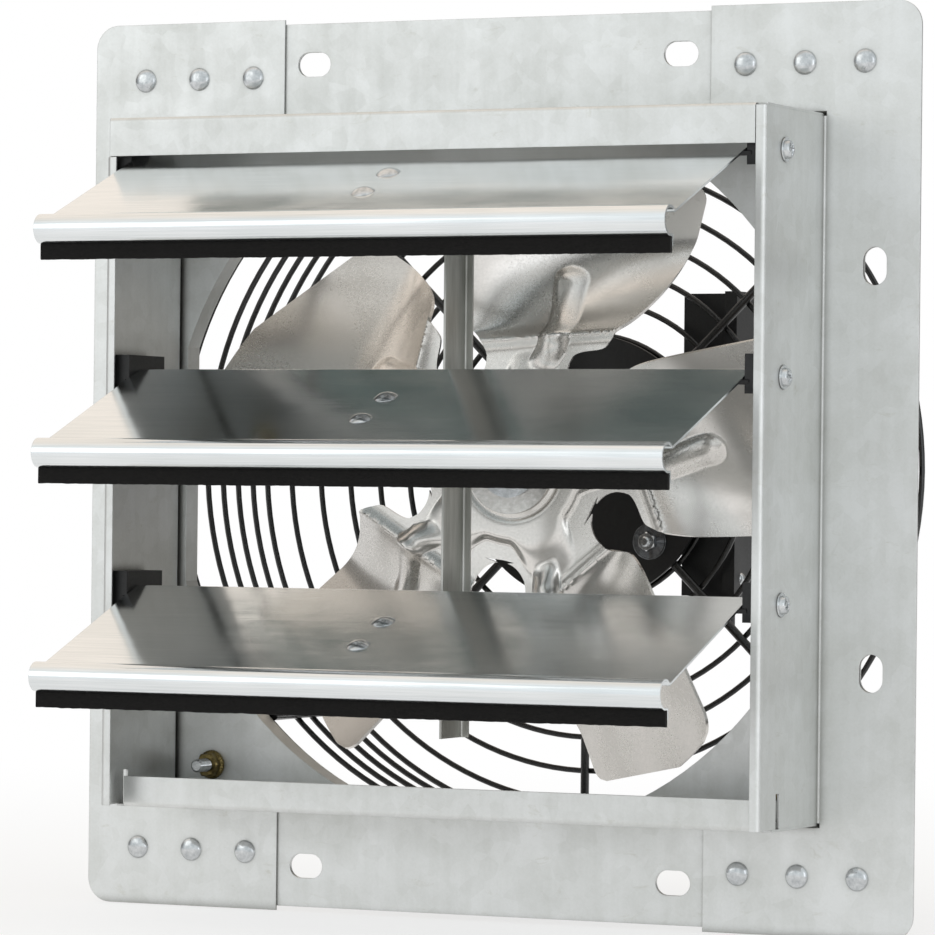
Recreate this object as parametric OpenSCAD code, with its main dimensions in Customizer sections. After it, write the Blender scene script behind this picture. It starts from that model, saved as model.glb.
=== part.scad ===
// Shutter exhaust fan: a shallow louvred box on a wall flange, with a guarded fan behind it.
// Lengths are in millimetres and angles in degrees. X runs right, Y runs into the wall and
// Z runs up. The origin is the centre of the flange's rear face, which meets the wall.

/* [Flange] */
// Width of the flange beside the box
flange_strip = 44; // [40:1:50]
// Radius of the flange's outer corners
flange_corner_r = 11; // [4:1:16]
// Thickness of the housing's sheet metal
sheet = 1; // [0.8:0.1:1.2]
// Outside radius of the housing's bends
bend_r = 2; // [1.8:0.1:2.4]
// How far each corner tab runs in from the flange's side edge
tab_reach = 97; // [90:1:100]
// Distance from the flange's edge to the centre of a mounting slot
slot_edge = 20.4; // [18:0.2:23]
// Length of a mounting slot
slot_length = 16.4; // [14:0.2:20]
// Width of a mounting slot
slot_width = 10.9; // [8:0.1:12]
// Distance between the two slots of the top or bottom edge
slot_span = 179; // [150:1:190]
// Distance between the two slots of a side edge
side_slot_span = 174.4; // [150:0.2:200]
// Distance from the flange's edges to the first corner rivet
rivet_edge = 25.75; // [24:0.25:28]
// Distance between the corner rivets
rivet_pitch = 27.6; // [20:0.2:28]
// Radius of a rivet's domed head
rivet_head_r = 5.25; // [4:0.25:6]
// Height of a rivet's domed head
rivet_head_h = 2.2; // [1:0.2:3]
// Radius of a rivet's shank
rivet_r = 2.4; // [1.6:0.1:3]

/* [Box] */
// How far the box's sides lie inside the opening's radius
side_inset = 5; // [4:0.5:7]
// How far the box's top and bottom lie inside the opening's radius
end_inset = 9; // [7:0.5:10]
// How far the box's sides stand out in front of the flange
side_depth = 68; // [66:1:80]
// How far the box's bottom stands out in front of the flange
bottom_depth = 55; // [50:1:62]
// Width of the lip along each side's front edge
side_lip = 4.5; // [3:0.5:5]
// Height of the top panel's front lip
top_lip = 17; // [8:0.5:18]
// Height of the bottom panel's front upstand
upstand = 13.5; // [8:0.5:16]
// Gap where two lips meet
lip_gap = 0.3; // [0.2:0.1:0.6]
// Width of the slit at the bottom of each side
slit_width = 4; // [2:0.5:6]
// Height of the slit at the bottom of each side
slit_height = 15; // [8:1:20]
// Distance of the slit behind the side's front edge
slit_back = 19; // [14:1:30]

/* [Orifice] */
// How far the orifice panel's edge lies inside the flange's edge
orifice_margin = 8; // [6:0.5:9]
// Gap between the fan's tips and the air opening
tip_gap = 9.5; // [6:0.5:12]
// How far the opening's flat sides cut into its radius
opening_flat = 9; // [8:1:20]
// Depth of the lip turned back around the opening
orifice_lip = 10; // [5:1:14]

/* [Louvres] */
// Number of louvres
louvre_count = 3; // [3:1:3]
// How far below the box one more pivot would lie
pitch_over = 0.5; // [0:0.1:2]
// Distance of the pivots in front of the flange's face
pivot_out = 45.5; // [44:0.5:47]
// Distance of the top pivot below the top of the box
pivot_drop = 18.5; // [17.5:0.5:22]
// Slope of an open louvre
blade_slope = 21.5; // [20:0.5:24]
// Thickness of the louvre sheet
blade_sheet = 1; // [0.7:0.1:1.2]
// Height of the louvre's top face over its pivot
blade_rise = 6.5; // [5:0.5:7]
// Distance from the pivot to the louvre's rear edge
blade_start = 6; // [4:0.5:7]
// How far a closed louvre's bead laps below the next pivot
blade_lap = 8.9; // [5:0.1:10]
// Gap between a louvre's end and the side panel
blade_gap = 9.5; // [9:0.5:12]
// Depth of the lip along the louvre's rear edge
rear_lip = 4; // [3:0.5:5]
// Radius of the bead along the louvre's front edge
bead_r = 6.4; // [5:0.2:7]
// How far the bead's middle lies below the louvre's top face
bead_sink = 2.6; // [1.5:0.1:3.5]
// Thickness of the felt strip
felt_t = 2; // [1:0.5:3]
// Height of the felt strip below the bead
felt_h = 6.8; // [5:0.2:7]
// Depth of the lip that holds the felt strip
felt_lip = 4; // [2:0.5:5]
// Distance from the pivot to the middle of the link bracket
link_mid = 56; // [50:1:60]
// Length of the link bracket under the louvre
link_length = 40; // [36:1:50]
// Width of the link bracket's flange
link_flange = 9; // [8:0.5:12]
// Distance between the link bracket's rivets
link_rivet_span = 26; // [20:1:30]
// Radius of a link rivet's head
link_rivet_head_r = 5.3; // [3:0.1:6]
// Height of a link rivet's head
link_rivet_head_h = 2.2; // [1:0.2:2.6]
// Radius of a link rivet's shank
link_rivet_r = 1.6; // [1:0.1:2]

/* [Louvre pivots] */
// Radius of the pivot screw's shank
pivot_r = 2; // [1.5:0.1:2.4]
// Radius of the pivot screw's head
pivot_head_r = 4; // [3.5:0.1:4.5]
// Height of the pivot screw's head
pivot_head_h = 2.6; // [2:0.2:3]
// Radius of the pivot washer
pivot_washer_r = 5.2; // [4.6:0.1:6]
// Thickness of the pivot washer
pivot_washer_t = 0.8; // [0.5:0.1:1.2]
// Running clearance of the pivots
run_gap = 0.05; // [0.02:0.01:0.09]
// Radius of the louvre bracket's boss
boss_r = 9.5; // [8:0.5:11]
// How far the louvre bracket runs back behind the pivot
bracket_tail = 14; // [12:0.5:14]
// Half height of the louvre bracket's tail
bracket_tail_half = 4.5; // [3:0.5:5]
// How far the louvre bracket runs forward
bracket_arm = 18.5; // [14:0.5:18.5]
// Length of the bracket's tongue under the louvre
bracket_tongue = 20; // [12:1:30]
// Thickness of the bracket's arm and tongue
bracket_t = 2; // [1.5:0.5:3]
// Gap between the bracket and the side panel
bracket_gap = 0.5; // [0.3:0.1:1]

/* [Tie bar] */
// Distance of a tie pin behind its louvre's pivot
pin_back = 11.5; // [9:0.5:13]
// Distance of a tie pin below its louvre's pivot
pin_drop = 20; // [18:0.5:22]
// Radius of a tie pin
pin_r = 2; // [1.5:0.1:2.5]
// Radius of a tie pin's heads
pin_head_r = 3.5; // [3:0.1:4]
// Thickness of a tie pin's heads
pin_head_t = 1.2; // [0.8:0.2:2]
// Side play of the tie pins
pin_play = 0.2; // [0.1:0.1:0.3]
// Clearance round the middle and bottom tie pins
pin_loose = 0.3; // [0.2:0.05:0.5]
// Position of the tie bar's web across the box
bar_x = -3; // [-5:0.5:0]
// Width of the tie bar's web
bar_width = 21; // [16:0.5:23]
// Distance of the bar's front edge in front of its pins
bar_front = 7.5; // [6:0.5:8]
// Width of the tie bar's flange
bar_flange = 4.5; // [3:0.5:8]
// Thickness of the tie bar and link brackets
bar_sheet = 1; // [0.8:0.1:1.2]
// Gap between the tie bar and the link brackets
bar_gap = 0.5; // [0.4:0.1:1]
// How far the bar runs above its top pin
bar_above = 8; // [6:0.5:12]
// How far the bar runs below its bottom pin
bar_below = 41.5; // [10:0.5:43]

/* [Fan] */
// Radius of the fan at the blades' leading corners
fan_r = 152.5; // [150:0.5:154]
// How far the blades' trailing corners lie inside the leading ones
trail_inset = 11.9; // [8:0.1:15]
// Number of blades
blade_count = 5; // [5:1:5]
// Direction of the first blade
first_blade = 4; // [0:1:72]
// Depth of the hub plate's middle behind the wall's face
hub_depth = 24; // [23:0.5:31]
// Pitch of the blades
fan_pitch = 37.4; // [34:0.2:38]
// How far the blades' middle line leans back at the tip
fan_lean = 29; // [26:0.5:30]
// Thickness of the fan sheet
fan_sheet = 1.4; // [1:0.1:1.6]
// Radius of the hub plate
hub_plate_r = 44; // [44:0.5:46]
// Thickness of the hub plate
hub_plate_t = 2; // [2:0.1:2.4]
// Radius of the raised middle of the hub plate
hub_step_r = 34; // [30:0.5:36]
// Height of the raised middle of the hub plate
hub_step = 2.5; // [1.5:0.1:3]
// Height of the ribs on the blades
rib_h = 3; // [1:0.5:4]
// Radius of the hub's flange
hub_flange_r = 21; // [17:0.5:24]
// Thickness of the hub's flange
hub_flange_t = 2.5; // [2:0.1:3]
// Radius of the hub's neck, where it passes through the plate
hub_neck_r = 9.5; // [8:0.5:10.5]
// Radius of the hub's sleeve
hub_sleeve_r = 13; // [11:0.5:15]
// Length of the hub's sleeve behind the plate
hub_sleeve = 22; // [15:0.5:26]
// Radius of the hub's washer
hub_washer_r = 13.7; // [11:0.1:16]
// Thickness of the hub's washer
hub_washer_t = 1.5; // [1:0.1:2]
// Corner radius of the hub's nut
hub_nut_r = 7.5; // [7:0.1:9]
// Height of the hub's nut
hub_nut_h = 6; // [4:0.2:7]
// Radius of the motor shaft
shaft_r = 6; // [5.5:0.1:6.5]
// Radius of the shaft's threaded end
shaft_end_r = 4; // [3:0.1:4.5]
// How far the threaded end stands out of the nut
shaft_out = 1.5; // [0.5:0.5:3]

/* [Guard] */
// Gap between the opening's lip and the guard's rings
guard_clear = 0.7; // [0.5:0.1:3]
// Radius of the guard's ring wire
guard_wire_r = 1.3; // [1:0.1:1.6]
// Radius of the guard's spoke wire
guard_spoke_r = 2; // [1.6:0.1:2.4]
// Number of spokes
spoke_count = 8; // [8:1:8]
// Depth of the guard's mounting ring
guard_front = 15; // [13:0.5:21]
// Depth of the first side ring
ring_start = 42; // [39:1:43]
// Distance between the side rings
ring_pitch = 15; // [12:0.5:15]
// Number of side rings
ring_count = 5; // [3:1:5]
// How far the largest rear ring lies inside the side rings
rear_ring_inset = 9.5; // [8:0.5:15]
// Number of rear rings
rear_ring_count = 7; // [4:1:7]
// Distance of the guard's studs from the box's sides
stud_side = 18.5; // [17:0.5:20]
// Distance of the guard's studs from the box's top or bottom
stud_end = 16.5; // [15:0.5:18]
// Radius of a guard stud
stud_r = 3; // [2.5:0.1:3.5]
// How far a guard stud stands out in front of the orifice panel
stud_out = 15; // [8:0.5:18]
// Corner radius of a guard stud's head
stud_head_r = 5.8; // [5:0.1:6.5]
// Height of a guard stud's head
stud_head_h = 4; // [2:0.2:5]
// Corner radius of a guard nut
nut_r = 5.6; // [5:0.1:6]
// Radius of a guard nut's flange
nut_flange_r = 6.6; // [6:0.1:7.5]
// Height of a guard nut
nut_h = 5.5; // [4:0.2:6]
// Thickness of a guard nut's flange
nut_flange_t = 1.4; // [1:0.1:2]
// Width of a guard foot
foot_width = 16; // [14:0.5:20]
// Thickness of a guard foot
foot_t = 1.5; // [1:0.1:2]
// How far a guard foot runs past its stud
foot_end = 9; // [7:0.5:12]

/* [Motor] */
// Depth of the motor plate's front face
motor_front = 101.7; // [100:0.1:103]
// How far the motor plate stands out past the front cap
plate_edge = 10; // [8:0.5:14]
// Gap between the front cap and the guard's spokes
cap_gap = 2.5; // [1:0.5:4]
// Thickness of the motor plate
motor_plate_t = 2; // [1.5:0.1:3]
// Radius of the hole in the motor plate
motor_plate_hole_r = 12; // [9:0.5:16]
// How far the motor's front cap stands out past the shell
cap_edge = 10; // [9:0.5:12]
// Radius of the motor's shell
motor_r = 42; // [41:0.5:42]
// Length of the motor's shell
shell_length = 42; // [42:0.5:46]
// Thickness of the motor's shell
shell_t = 1.5; // [1:0.1:2]
// Thickness of the motor's caps
cap_t = 6; // [6:0.5:8]
// Radius of the shaft hole in the front cap
cap_hole_r = 8; // [7:0.1:9]
// Radius of the bearings
bearing_r = 14; // [12:0.1:15]
// Width of the bearings
bearing_w = 8; // [6:0.1:8]
// Wall round the bearings
bearing_wall = 4; // [2:0.5:5]
// Length of the stator and rotor cores
core_length = 20; // [14:0.5:20]
// Depth of the stator core, from its bore to the shell
stator_depth = 16.1; // [14:0.1:18]
// Air gap between the cores
air_gap = 0.4; // [0.3:0.05:0.5]
// Number of stator slots
slot_count = 12; // [6:1:16]
// Width of a stator slot
core_slot = 4; // [2:0.5:5]
// Length of the windings past the core at each end
winding_length = 5; // [3:0.5:5]
// Distance of a motor bolt from the front cap's edge
bolt_edge = 5; // [4.4:0.1:5.3]
// Radius of a motor bolt
bolt_r = 2.5; // [2:0.1:3]
// Corner radius of a motor bolt's head and nut
bolt_nut_r = 4.6; // [4.2:0.1:4.8]
// Height of a motor bolt's head and nut
bolt_nut_h = 4; // [3:0.2:5]
// How far a motor bolt stands out of its nut
bolt_out = 2.5; // [1:0.5:5]
// Radius of a motor bolt's washer
bolt_washer_r = 8.3; // [7:0.1:9]
// Thickness of a motor bolt's washer
bolt_washer_t = 1.2; // [0.8:0.1:2]

/* [Junction box] */
// Width of the junction box, away from the motor
jbox_width = 26.5; // [25:0.5:34]
// Depth of the junction box, front to back
jbox_depth = 42; // [38:0.5:48]
// Height of the junction box
jbox_height = 139; // [120:1:150]
// Height of the junction box's middle over the axis
jbox_mid = 11.5; // [8:0.5:16]
// Distance of the junction box behind the motor plate
jbox_back = 11.3; // [10:0.1:13]
// Gap between the motor's shell and the junction box
jbox_gap = 1.5; // [1:0.1:3]
// Wall of the junction box
jbox_wall = 2; // [1.5:0.1:2.5]
// Thickness of the junction box's cover
cover_t = 6; // [4:0.5:8]
// How far the cover's edge stands out past the base
cover_step = 1; // [0.5:0.1:2]
// Radius of a cover screw
cover_screw_r = 1.5; // [1:0.1:2]
// Radius of a cover screw's head
cover_head_r = 3; // [2.5:0.1:3.5]
// Height of a cover screw's head
cover_head_h = 1.8; // [1:0.2:2.4]
// Radius of a cover screw's post
post_r = 3.5; // [3:0.1:4.5]
// Distance of a cover screw from the box's end
post_in = 8; // [7:0.5:12]
// Radius of the capacitor
capacitor_r = 9; // [7:0.5:9.5]
// Length of the capacitor
capacitor_length = 40; // [30:1:42]
// Width, depth and height of the terminal block
terminal_size = [12, 14, 26]; // [10:1:30]
// Depth of the leads' holes in the terminal block
lead_grip = 4; // [2:0.5:6]
// Radius of a motor lead
lead_r = 1.2; // [0.8:0.1:1.4]
// Distance between the motor leads
lead_pitch = 3; // [2.9:0.1:3.2]
// Radius of the hole that the motor leads pass through
lead_hole_r = 5.5; // [5:0.1:6]
// Half height of the saddle under the junction box
saddle_half = 12; // [8:0.5:16]
// Radius of the cable gland's hole
gland_hole_r = 4; // [3:0.1:5]
// Corner radius of the cable gland's hexagon
gland_hex_r = 9; // [8:0.1:10]
// Height of the cable gland's hexagon
gland_hex_h = 5; // [4:0.5:7]
// Radius of the cable gland's nose
gland_r = 6.5; // [6:0.1:7.5]
// Length of the cable gland's nose
gland_length = 9; // [6:0.5:12]
// Radius of the cable gland's threaded end
gland_thread_r = 6; // [5.2:0.1:7]
// Length of the cable gland's threaded end
gland_thread = 5; // [3:0.5:8]

/* [Hidden] */
$fn = 128;
hex = 6;
opening_r = fan_r + tip_gap;
opening_half = opening_r - opening_flat;
half_w = opening_r - side_inset;
half_h = opening_r - end_inset;
half_flange = half_w + flange_strip;
flange_size = 2 * half_flange;
in_w = half_w - sheet;
in_h = half_h - sheet;
slot_at = half_flange - slot_edge;
rivet_at = half_flange - rivet_edge;
rivet_count = 3;
tab_start = half_h + bend_r - sheet;
// Depths of the faces of the three layers that make up the flange, from front to rear
layer = [-3 * sheet, -2 * sheet, -sheet, 0];
box_front = layer[0] - side_depth;
over = sheet / 2;

pivot_y = layer[0] - pivot_out;
louvre_pitch = (2 * half_h - pivot_drop + pitch_over) / louvre_count;
blade_length = louvre_pitch + blade_lap;
function pivot_z(i) = half_h - pivot_drop - i * louvre_pitch;
blade_half = in_w - blade_gap;
under = blade_rise - blade_sheet;
blade_bend = 2 * blade_sheet;
bead_mid_r = bead_r - blade_sheet / 2;
// How far the bead's sheet turns past its lowest point, in degrees
bead_lap = 4;
bead_turn = asin((bead_sink - blade_sheet / 2) / bead_mid_r);
flat_end = blade_length - bead_mid_r * cos(bead_turn);
// A point of a louvre, measured along it from the pivot and square to it
function blade_pt(s, n) = [-s * cos(blade_slope) - n * sin(blade_slope),
                           n * cos(blade_slope) - s * sin(blade_slope)];
bead = blade_pt(blade_length, blade_rise - bead_sink);
bracket_in = blade_half + bracket_gap;
bracket_out = in_w - bracket_gap;

pin = [pin_back, -pin_drop];
bar_face = bar_x - bar_sheet / 2;
link_face = bar_face - bar_gap;
link_rivet_x = link_face - link_flange / 2;
pin_boss_r = pin_head_r + 2 * bar_gap;

fan_trail_r = fan_r - trail_inset;
fan_slope = tan(fan_pitch);
hub_front = hub_depth - hub_plate_t / 2 - hub_step;
flange_front = hub_front - hub_flange_t;
washer_front = flange_front - hub_washer_t;
nut_front = washer_front - hub_nut_h;
shaft_tip = nut_front - shaft_out;
blade_root_r = hub_step_r + (hub_plate_r - hub_step_r) / 5;
// Rows of a blade from root to tip: share of the way out, the directions of the
// trailing and leading edges, and the share of the rib's height
blade_row_shares = [
    [0, -33, 33, 0], [0.07, -33, 32, 0], [0.1, -28, 26.5, 0], [0.135, -24.8, 24.2, 0.6],
    [0.19, -23.6, 24.4, 1], [0.23, -25.8, 26.6, 1], [0.29, -28.6, 28.3, 1],
    [0.365, -28.5, 27.6, 1], [0.47, -25.5, 26.3, 0.8], [0.6, -21.3, 25, 0],
    [0.8, -16.6, 22, 0], [1, -13.4, 17.5, 0]];
// Columns of a blade, from the trailing edge over the middle line to the leading edge
blade_column_shares = [-1, -0.8, -0.58, -0.36, -0.15, 0, 0.15, 0.36, 0.58, 0.8, 1];
rib_column = 5;

motor_cap_r = motor_r + cap_edge;
motor_plate_r = motor_cap_r + plate_edge;
guard_gap_r = motor_cap_r + cap_gap;
guard_r = opening_r + sheet + guard_clear + guard_wire_r;
rear_ring_r = guard_r - rear_ring_inset;
rear_ring_pitch = (rear_ring_r - motor_plate_r) / (rear_ring_count - 1);
stud_x = half_w - stud_side;
stud_z = half_h - stud_end;
bolt_ring_r = motor_cap_r - bolt_edge;
plate_back = motor_front + motor_plate_t;
spoke_y = plate_back + guard_spoke_r;
spoke_ring_r = guard_r - guard_wire_r - guard_spoke_r;
spoke_bend_r = 4 * guard_spoke_r;
rear_ring_y = spoke_y + guard_spoke_r + guard_wire_r;
foot_in = guard_r + guard_wire_r;
stud_ring_r = norm([stud_x, stud_z]);
stud_angle = atan2(stud_z, stud_x);
foot_back = layer[3] + foot_t;

cap_back = plate_back + cap_t;
front_bearing_y = cap_back;
shell_back = cap_back + shell_length;
rear_bearing_y = shell_back - bearing_w + cap_t / 3;
rear_cap_back = shell_back + cap_t;
shaft_back = rear_bearing_y + bearing_w + cap_t / 4;
core_y = cap_back + (shell_length - core_length) / 2;
core_out = motor_r - shell_t;
core_r = core_out - stator_depth - air_gap;

jbox_in = motor_r + jbox_gap;
jbox_cover_x = jbox_in + jbox_width - cover_t;
jbox_out = jbox_in + jbox_width;
jbox_front = plate_back + jbox_back;
jbox_mid_y = jbox_front + jbox_depth / 2;
jbox_low = jbox_mid - jbox_height / 2;
jbox_high = jbox_mid + jbox_height / 2;
floor_x = jbox_in + jbox_wall;
lead_y = core_y + core_length + winding_length / 2;
lead_start = core_out - 2 * shell_t;

// Helpers

// Extrudes an outline drawn in Y and Z from one X to another
module along_x(from, to) {
    translate([from, 0, 0])
        rotate([90, 0, 90])
            linear_extrude(to - from)
                children();
}

// Extrudes an outline drawn in X and Z from one Y to another
module along_y(from, to) {
    translate([0, to, 0])
        rotate([90, 0, 0])
            linear_extrude(to - from)
                children();
}

module rod_x(r, from, to, y = 0, z = 0) {
    translate([from, y, z])
        rotate([0, 90, 0])
            cylinder(r = r, h = to - from);
}

module rod_y(r, from, to, x = 0, z = 0, sides = $fn) {
    translate([x, from, z])
        rotate([-90, 0, 0])
            cylinder(r = r, h = to - from, $fn = sides);
}

// Turns a profile of radius and depth about the fan's axis
module turned() {
    rotate([-90, 0, 0])
        rotate_extrude()
            children();
}

// A low dome on the XY plane
module dome(r, h) {
    ball = (r * r + h * h) / (2 * h);
    rotate_extrude()
        intersection() {
            translate([0, h - ball])
                circle(ball);
            square([r, h]);
        }
}

// Two legs of sheet joined by a bend, with the outside corner at the origin
module bent(along, up, t, r) {
    translate([r, 0])
        square([along - r, t]);
    translate([0, r])
        square([t, up - r]);
    intersection() {
        square(r);
        translate([r, r])
            difference() {
                circle(r);
                circle(r - t);
            }
    }
}

// A slot along the first axis of the outline
module slot(length, width) {
    square([length - width, width], center = true);
    for (side = [-1, 1])
        translate([side * (length - width) / 2, 0])
            circle(width / 2);
}

module mounting_slots() {
    for (x = [-1, 1], z = [-1, 1]) {
        translate([x * slot_span / 2, z * slot_at])
            slot(slot_length, slot_width);
        translate([x * slot_at, z * side_slot_span / 2])
            rotate(90)
                slot(slot_length, slot_width);
    }
}

module at_rivets()
    for (x = [-1, 1], z = [-1, 1], i = [0:rivet_count - 1])
        translate([x * (rivet_at - i * rivet_pitch), z * rivet_at])
            children();

module flange_outline(inset = 0) {
    r = flange_corner_r - inset / 2;
    half = half_flange - inset;
    square([2 * half, 2 * (half - r)], center = true);
    square([2 * (half - r), 2 * half], center = true);
    for (x = [-1, 1], z = [-1, 1])
        translate([x * (half - r), z * (half - r)])
            circle(r);
}

// Housing

// One side of the box, as the right one, with its part of the flange
module side_panel() {
    difference() {
        union() {
            translate([0, 0, -in_h])
                linear_extrude(2 * in_h) {
                    translate([in_w, layer[1]])
                        mirror([0, 1])
                            bent(bend_r + sheet, side_depth, sheet, bend_r);
                    translate([half_w, box_front])
                        mirror([1, 0])
                            bent(side_lip, bend_r + sheet, sheet, bend_r);
                }
            along_y(layer[0], layer[1])
                intersection() {
                    flange_outline();
                    union() {
                        translate([in_w + bend_r, -half_flange])
                            square([half_flange, flange_size]);
                        for (z = [0, 1])
                            mirror([0, z])
                                translate([half_flange - tab_reach, tab_start])
                                    square(half_flange);
                    }
                }
        }
        along_y(layer[0] - over, layer[1] + over) {
            mounting_slots();
            at_rivets()
                circle(rivet_r);
        }
        translate([in_w - over, box_front + slit_back, -in_h - over])
            cube([2 * sheet, slit_width, slit_height + over]);
        for (i = [0:louvre_count - 1])
            rod_x(pivot_r, in_w - over, half_w + over, pivot_y, pivot_z(i));
    }
}

module left_side_panel()
    color([0.78, 0.78, 0.75])
        difference() {
            mirror([1, 0, 0])
                side_panel();
            // the top panel's lip covers this corner
            translate([-half_w - over, box_front - over, half_h - top_lip - lip_gap])
                cube([side_lip + 2 * over, bend_r + over, top_lip + 2 * lip_gap]);
        }

module right_side_panel()
    color([0.78, 0.78, 0.75])
        side_panel();

// The flange part of the top or bottom panel, as the top one
module end_flange()
    intersection() {
        flange_outline(2 * sheet);
        translate([-half_flange, in_h + bend_r])
            square([flange_size, half_flange]);
    }

module end_flange_holes()
    along_y(layer[1] - over, layer[2] + over) {
        mounting_slots();
        at_rivets()
            circle(rivet_r);
    }

module top_panel()
    color([0.8, 0.8, 0.77])
        difference() {
            union() {
                along_x(-half_w, half_w)
                    translate([layer[2], in_h])
                        mirror([1, 0])
                            bent(side_depth + 2 * sheet - bend_r, bend_r + sheet, sheet, bend_r);
                along_x(lip_gap / 2 - half_w + sheet, half_w - side_lip - lip_gap)
                    translate([box_front, half_h])
                        mirror([0, 1])
                            bent(bend_r + sheet, top_lip, sheet, bend_r);
                along_y(layer[1], layer[2])
                    end_flange();
            }
            end_flange_holes();
        }

module bottom_panel()
    color([0.8, 0.8, 0.77])
        difference() {
            union() {
                along_x(-half_w, half_w)
                    translate([layer[2], -in_h])
                        mirror([1, 0])
                            mirror([0, 1])
                                bent(bottom_depth + 2 * sheet - bend_r, bend_r + sheet, sheet, bend_r);
                along_x(side_lip - half_w, half_w - side_lip)
                    translate([layer[0] - bottom_depth, -half_h])
                        bent(bend_r + sheet, upstand, sheet, bend_r);
                along_y(layer[1], layer[2])
                    mirror([0, 1])
                        end_flange();
            }
            end_flange_holes();
        }

module opening_outline(grow = 0)
    intersection() {
        circle(opening_r + grow);
        square([2 * (opening_half + grow), 2 * (opening_r + 2 * grow)], center = true);
    }

module orifice_panel()
    color([0.66, 0.66, 0.63])
        difference() {
            union() {
                along_y(layer[2], layer[3])
                    square(2 * (half_flange - orifice_margin), center = true);
                along_y(layer[2], layer[3] + orifice_lip)
                    opening_outline(sheet);
            }
            along_y(layer[2] - over, layer[3] + orifice_lip + over)
                opening_outline();
            along_y(layer[2] - over, layer[3] + over) {
                mounting_slots();
                at_rivets()
                    circle(rivet_r);
                for (x = [-1, 1], z = [-1, 1])
                    translate([x * stud_x, z * stud_z])
                        circle(stud_r);
            }
        }

module flange_rivets()
    color([0.75, 0.75, 0.73])
        for (x = [-1, 1], z = [-1, 1], i = [0:rivet_count - 1])
            translate([x * (rivet_at - i * rivet_pitch), 0, z * rivet_at]) {
                translate([0, layer[0], 0])
                    rotate([90, 0, 0])
                        dome(rivet_head_r, rivet_head_h);
                rod_y(rivet_r, layer[0], layer[3]);
                rod_y(1.5 * rivet_r, layer[3], layer[3] + sheet);
            }

// Louvres

module louvre_at(i)
    translate([0, pivot_y, pivot_z(i)])
        children();

module louvre(i)
    color([0.82, 0.84, 0.85])
        difference() {
            louvre_at(i)
                along_x(-blade_half, blade_half) {
                    rotate(blade_slope)
                        translate([-blade_start, blade_rise])
                            mirror([1, 0])
                                mirror([0, 1])
                                    bent(flat_end - blade_start, rear_lip, blade_sheet, blade_bend);
                    translate(bead) {
                        difference() {
                            circle(bead_r);
                            circle(bead_r - blade_sheet);
                            rotate(blade_slope)
                                polygon([[0, 0],
                                         2 * bead_r * [sin(bead_lap - blade_slope), -cos(bead_lap - blade_slope)],
                                         2 * bead_r * [1, -tan(bead_turn)],
                                         2 * bead_r * [cos(bead_turn), sin(bead_turn)]]);
                        }
                        translate([0, -bead_r])
                            square([felt_t + blade_sheet, blade_sheet]);
                        translate([felt_t, -bead_r - felt_lip])
                            square([blade_sheet, felt_lip + blade_sheet]);
                    }
                }
            link_rivet_places(i)
                cylinder(r = link_rivet_r, h = bar_sheet + 4 * blade_sheet, center = true);
        }

// Where the two link rivets pass through a louvre's top face
module link_rivet_places(i)
    louvre_at(i)
        rotate([blade_slope, 0, 0])
            for (side = [-1, 1])
                translate([link_rivet_x, -link_mid - side * link_rivet_span / 2, blade_rise])
                    children();

module felt_strip(i)
    color([0.12, 0.12, 0.12])
        louvre_at(i)
            along_x(-blade_half, blade_half)
                translate([bead[0], bead[1] - bead_r - felt_h])
                    square([felt_t, felt_h]);

module end_bracket(i) {
    louvre_at(i)
        difference() {
            union() {
                along_x(bracket_in, bracket_out) {
                    circle(boss_r);
                    polygon([[-bracket_arm, boss_r],
                             [bracket_tail, boss_r],
                             [bracket_tail, -bracket_tail_half],
                             [0, -bracket_tail_half],
                             [-bracket_arm, -bracket_arm * tan(blade_slope)]]);
                }
                along_x(bracket_in - bracket_tongue, bracket_in + bracket_t)
                    rotate(blade_slope)
                        translate([-bracket_arm, under - bracket_t])
                            square([bracket_arm - blade_start - blade_bend, bracket_t]);
            }
            rod_x(pivot_r + run_gap, bracket_in - over, bracket_out + over);
        }
}

module end_brackets(i)
    color([0.14, 0.14, 0.14])
        for (side = [0, 1])
            mirror([side, 0, 0])
                end_bracket(i);

// The top bracket's pin runs true; the other two have play
module link_bracket(i)
    color([0.68, 0.69, 0.7])
        difference() {
            louvre_at(i) {
                along_x(link_face - bar_sheet, link_face) {
                    polygon([pin + [0, pin_boss_r],
                             blade_pt(link_mid - link_length / 2, under - bar_sheet / 2),
                             blade_pt(link_mid + link_length / 2, under - bar_sheet / 2),
                             blade_pt(link_mid + link_length / 2, under - 2 * bar_sheet),
                             pin - [0, pin_boss_r]]);
                    translate(pin)
                        circle(pin_boss_r);
                }
                along_x(link_face - link_flange, link_face)
                    rotate(blade_slope)
                        translate([-link_mid - link_length / 2, under - bar_sheet])
                            square([link_length, bar_sheet]);
            }
            louvre_at(i)
                rod_x(pin_r + (i == 0 ? run_gap : pin_loose),
                      link_face - bar_sheet - over, link_face + over, pin[0], pin[1]);
            link_rivet_places(i)
                cylinder(r = link_rivet_r, h = bar_sheet + 4 * blade_sheet, center = true);
        }

module link_rivets(i)
    color([0.85, 0.85, 0.84])
        link_rivet_places(i) {
            dome(link_rivet_head_r, link_rivet_head_h);
            translate([0, 0, -blade_sheet - bar_sheet])
                cylinder(r = link_rivet_r, h = blade_sheet + bar_sheet);
            translate([0, 0, -blade_sheet - 2 * bar_sheet])
                cylinder(r = 1.5 * link_rivet_r, h = bar_sheet);
        }

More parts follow.
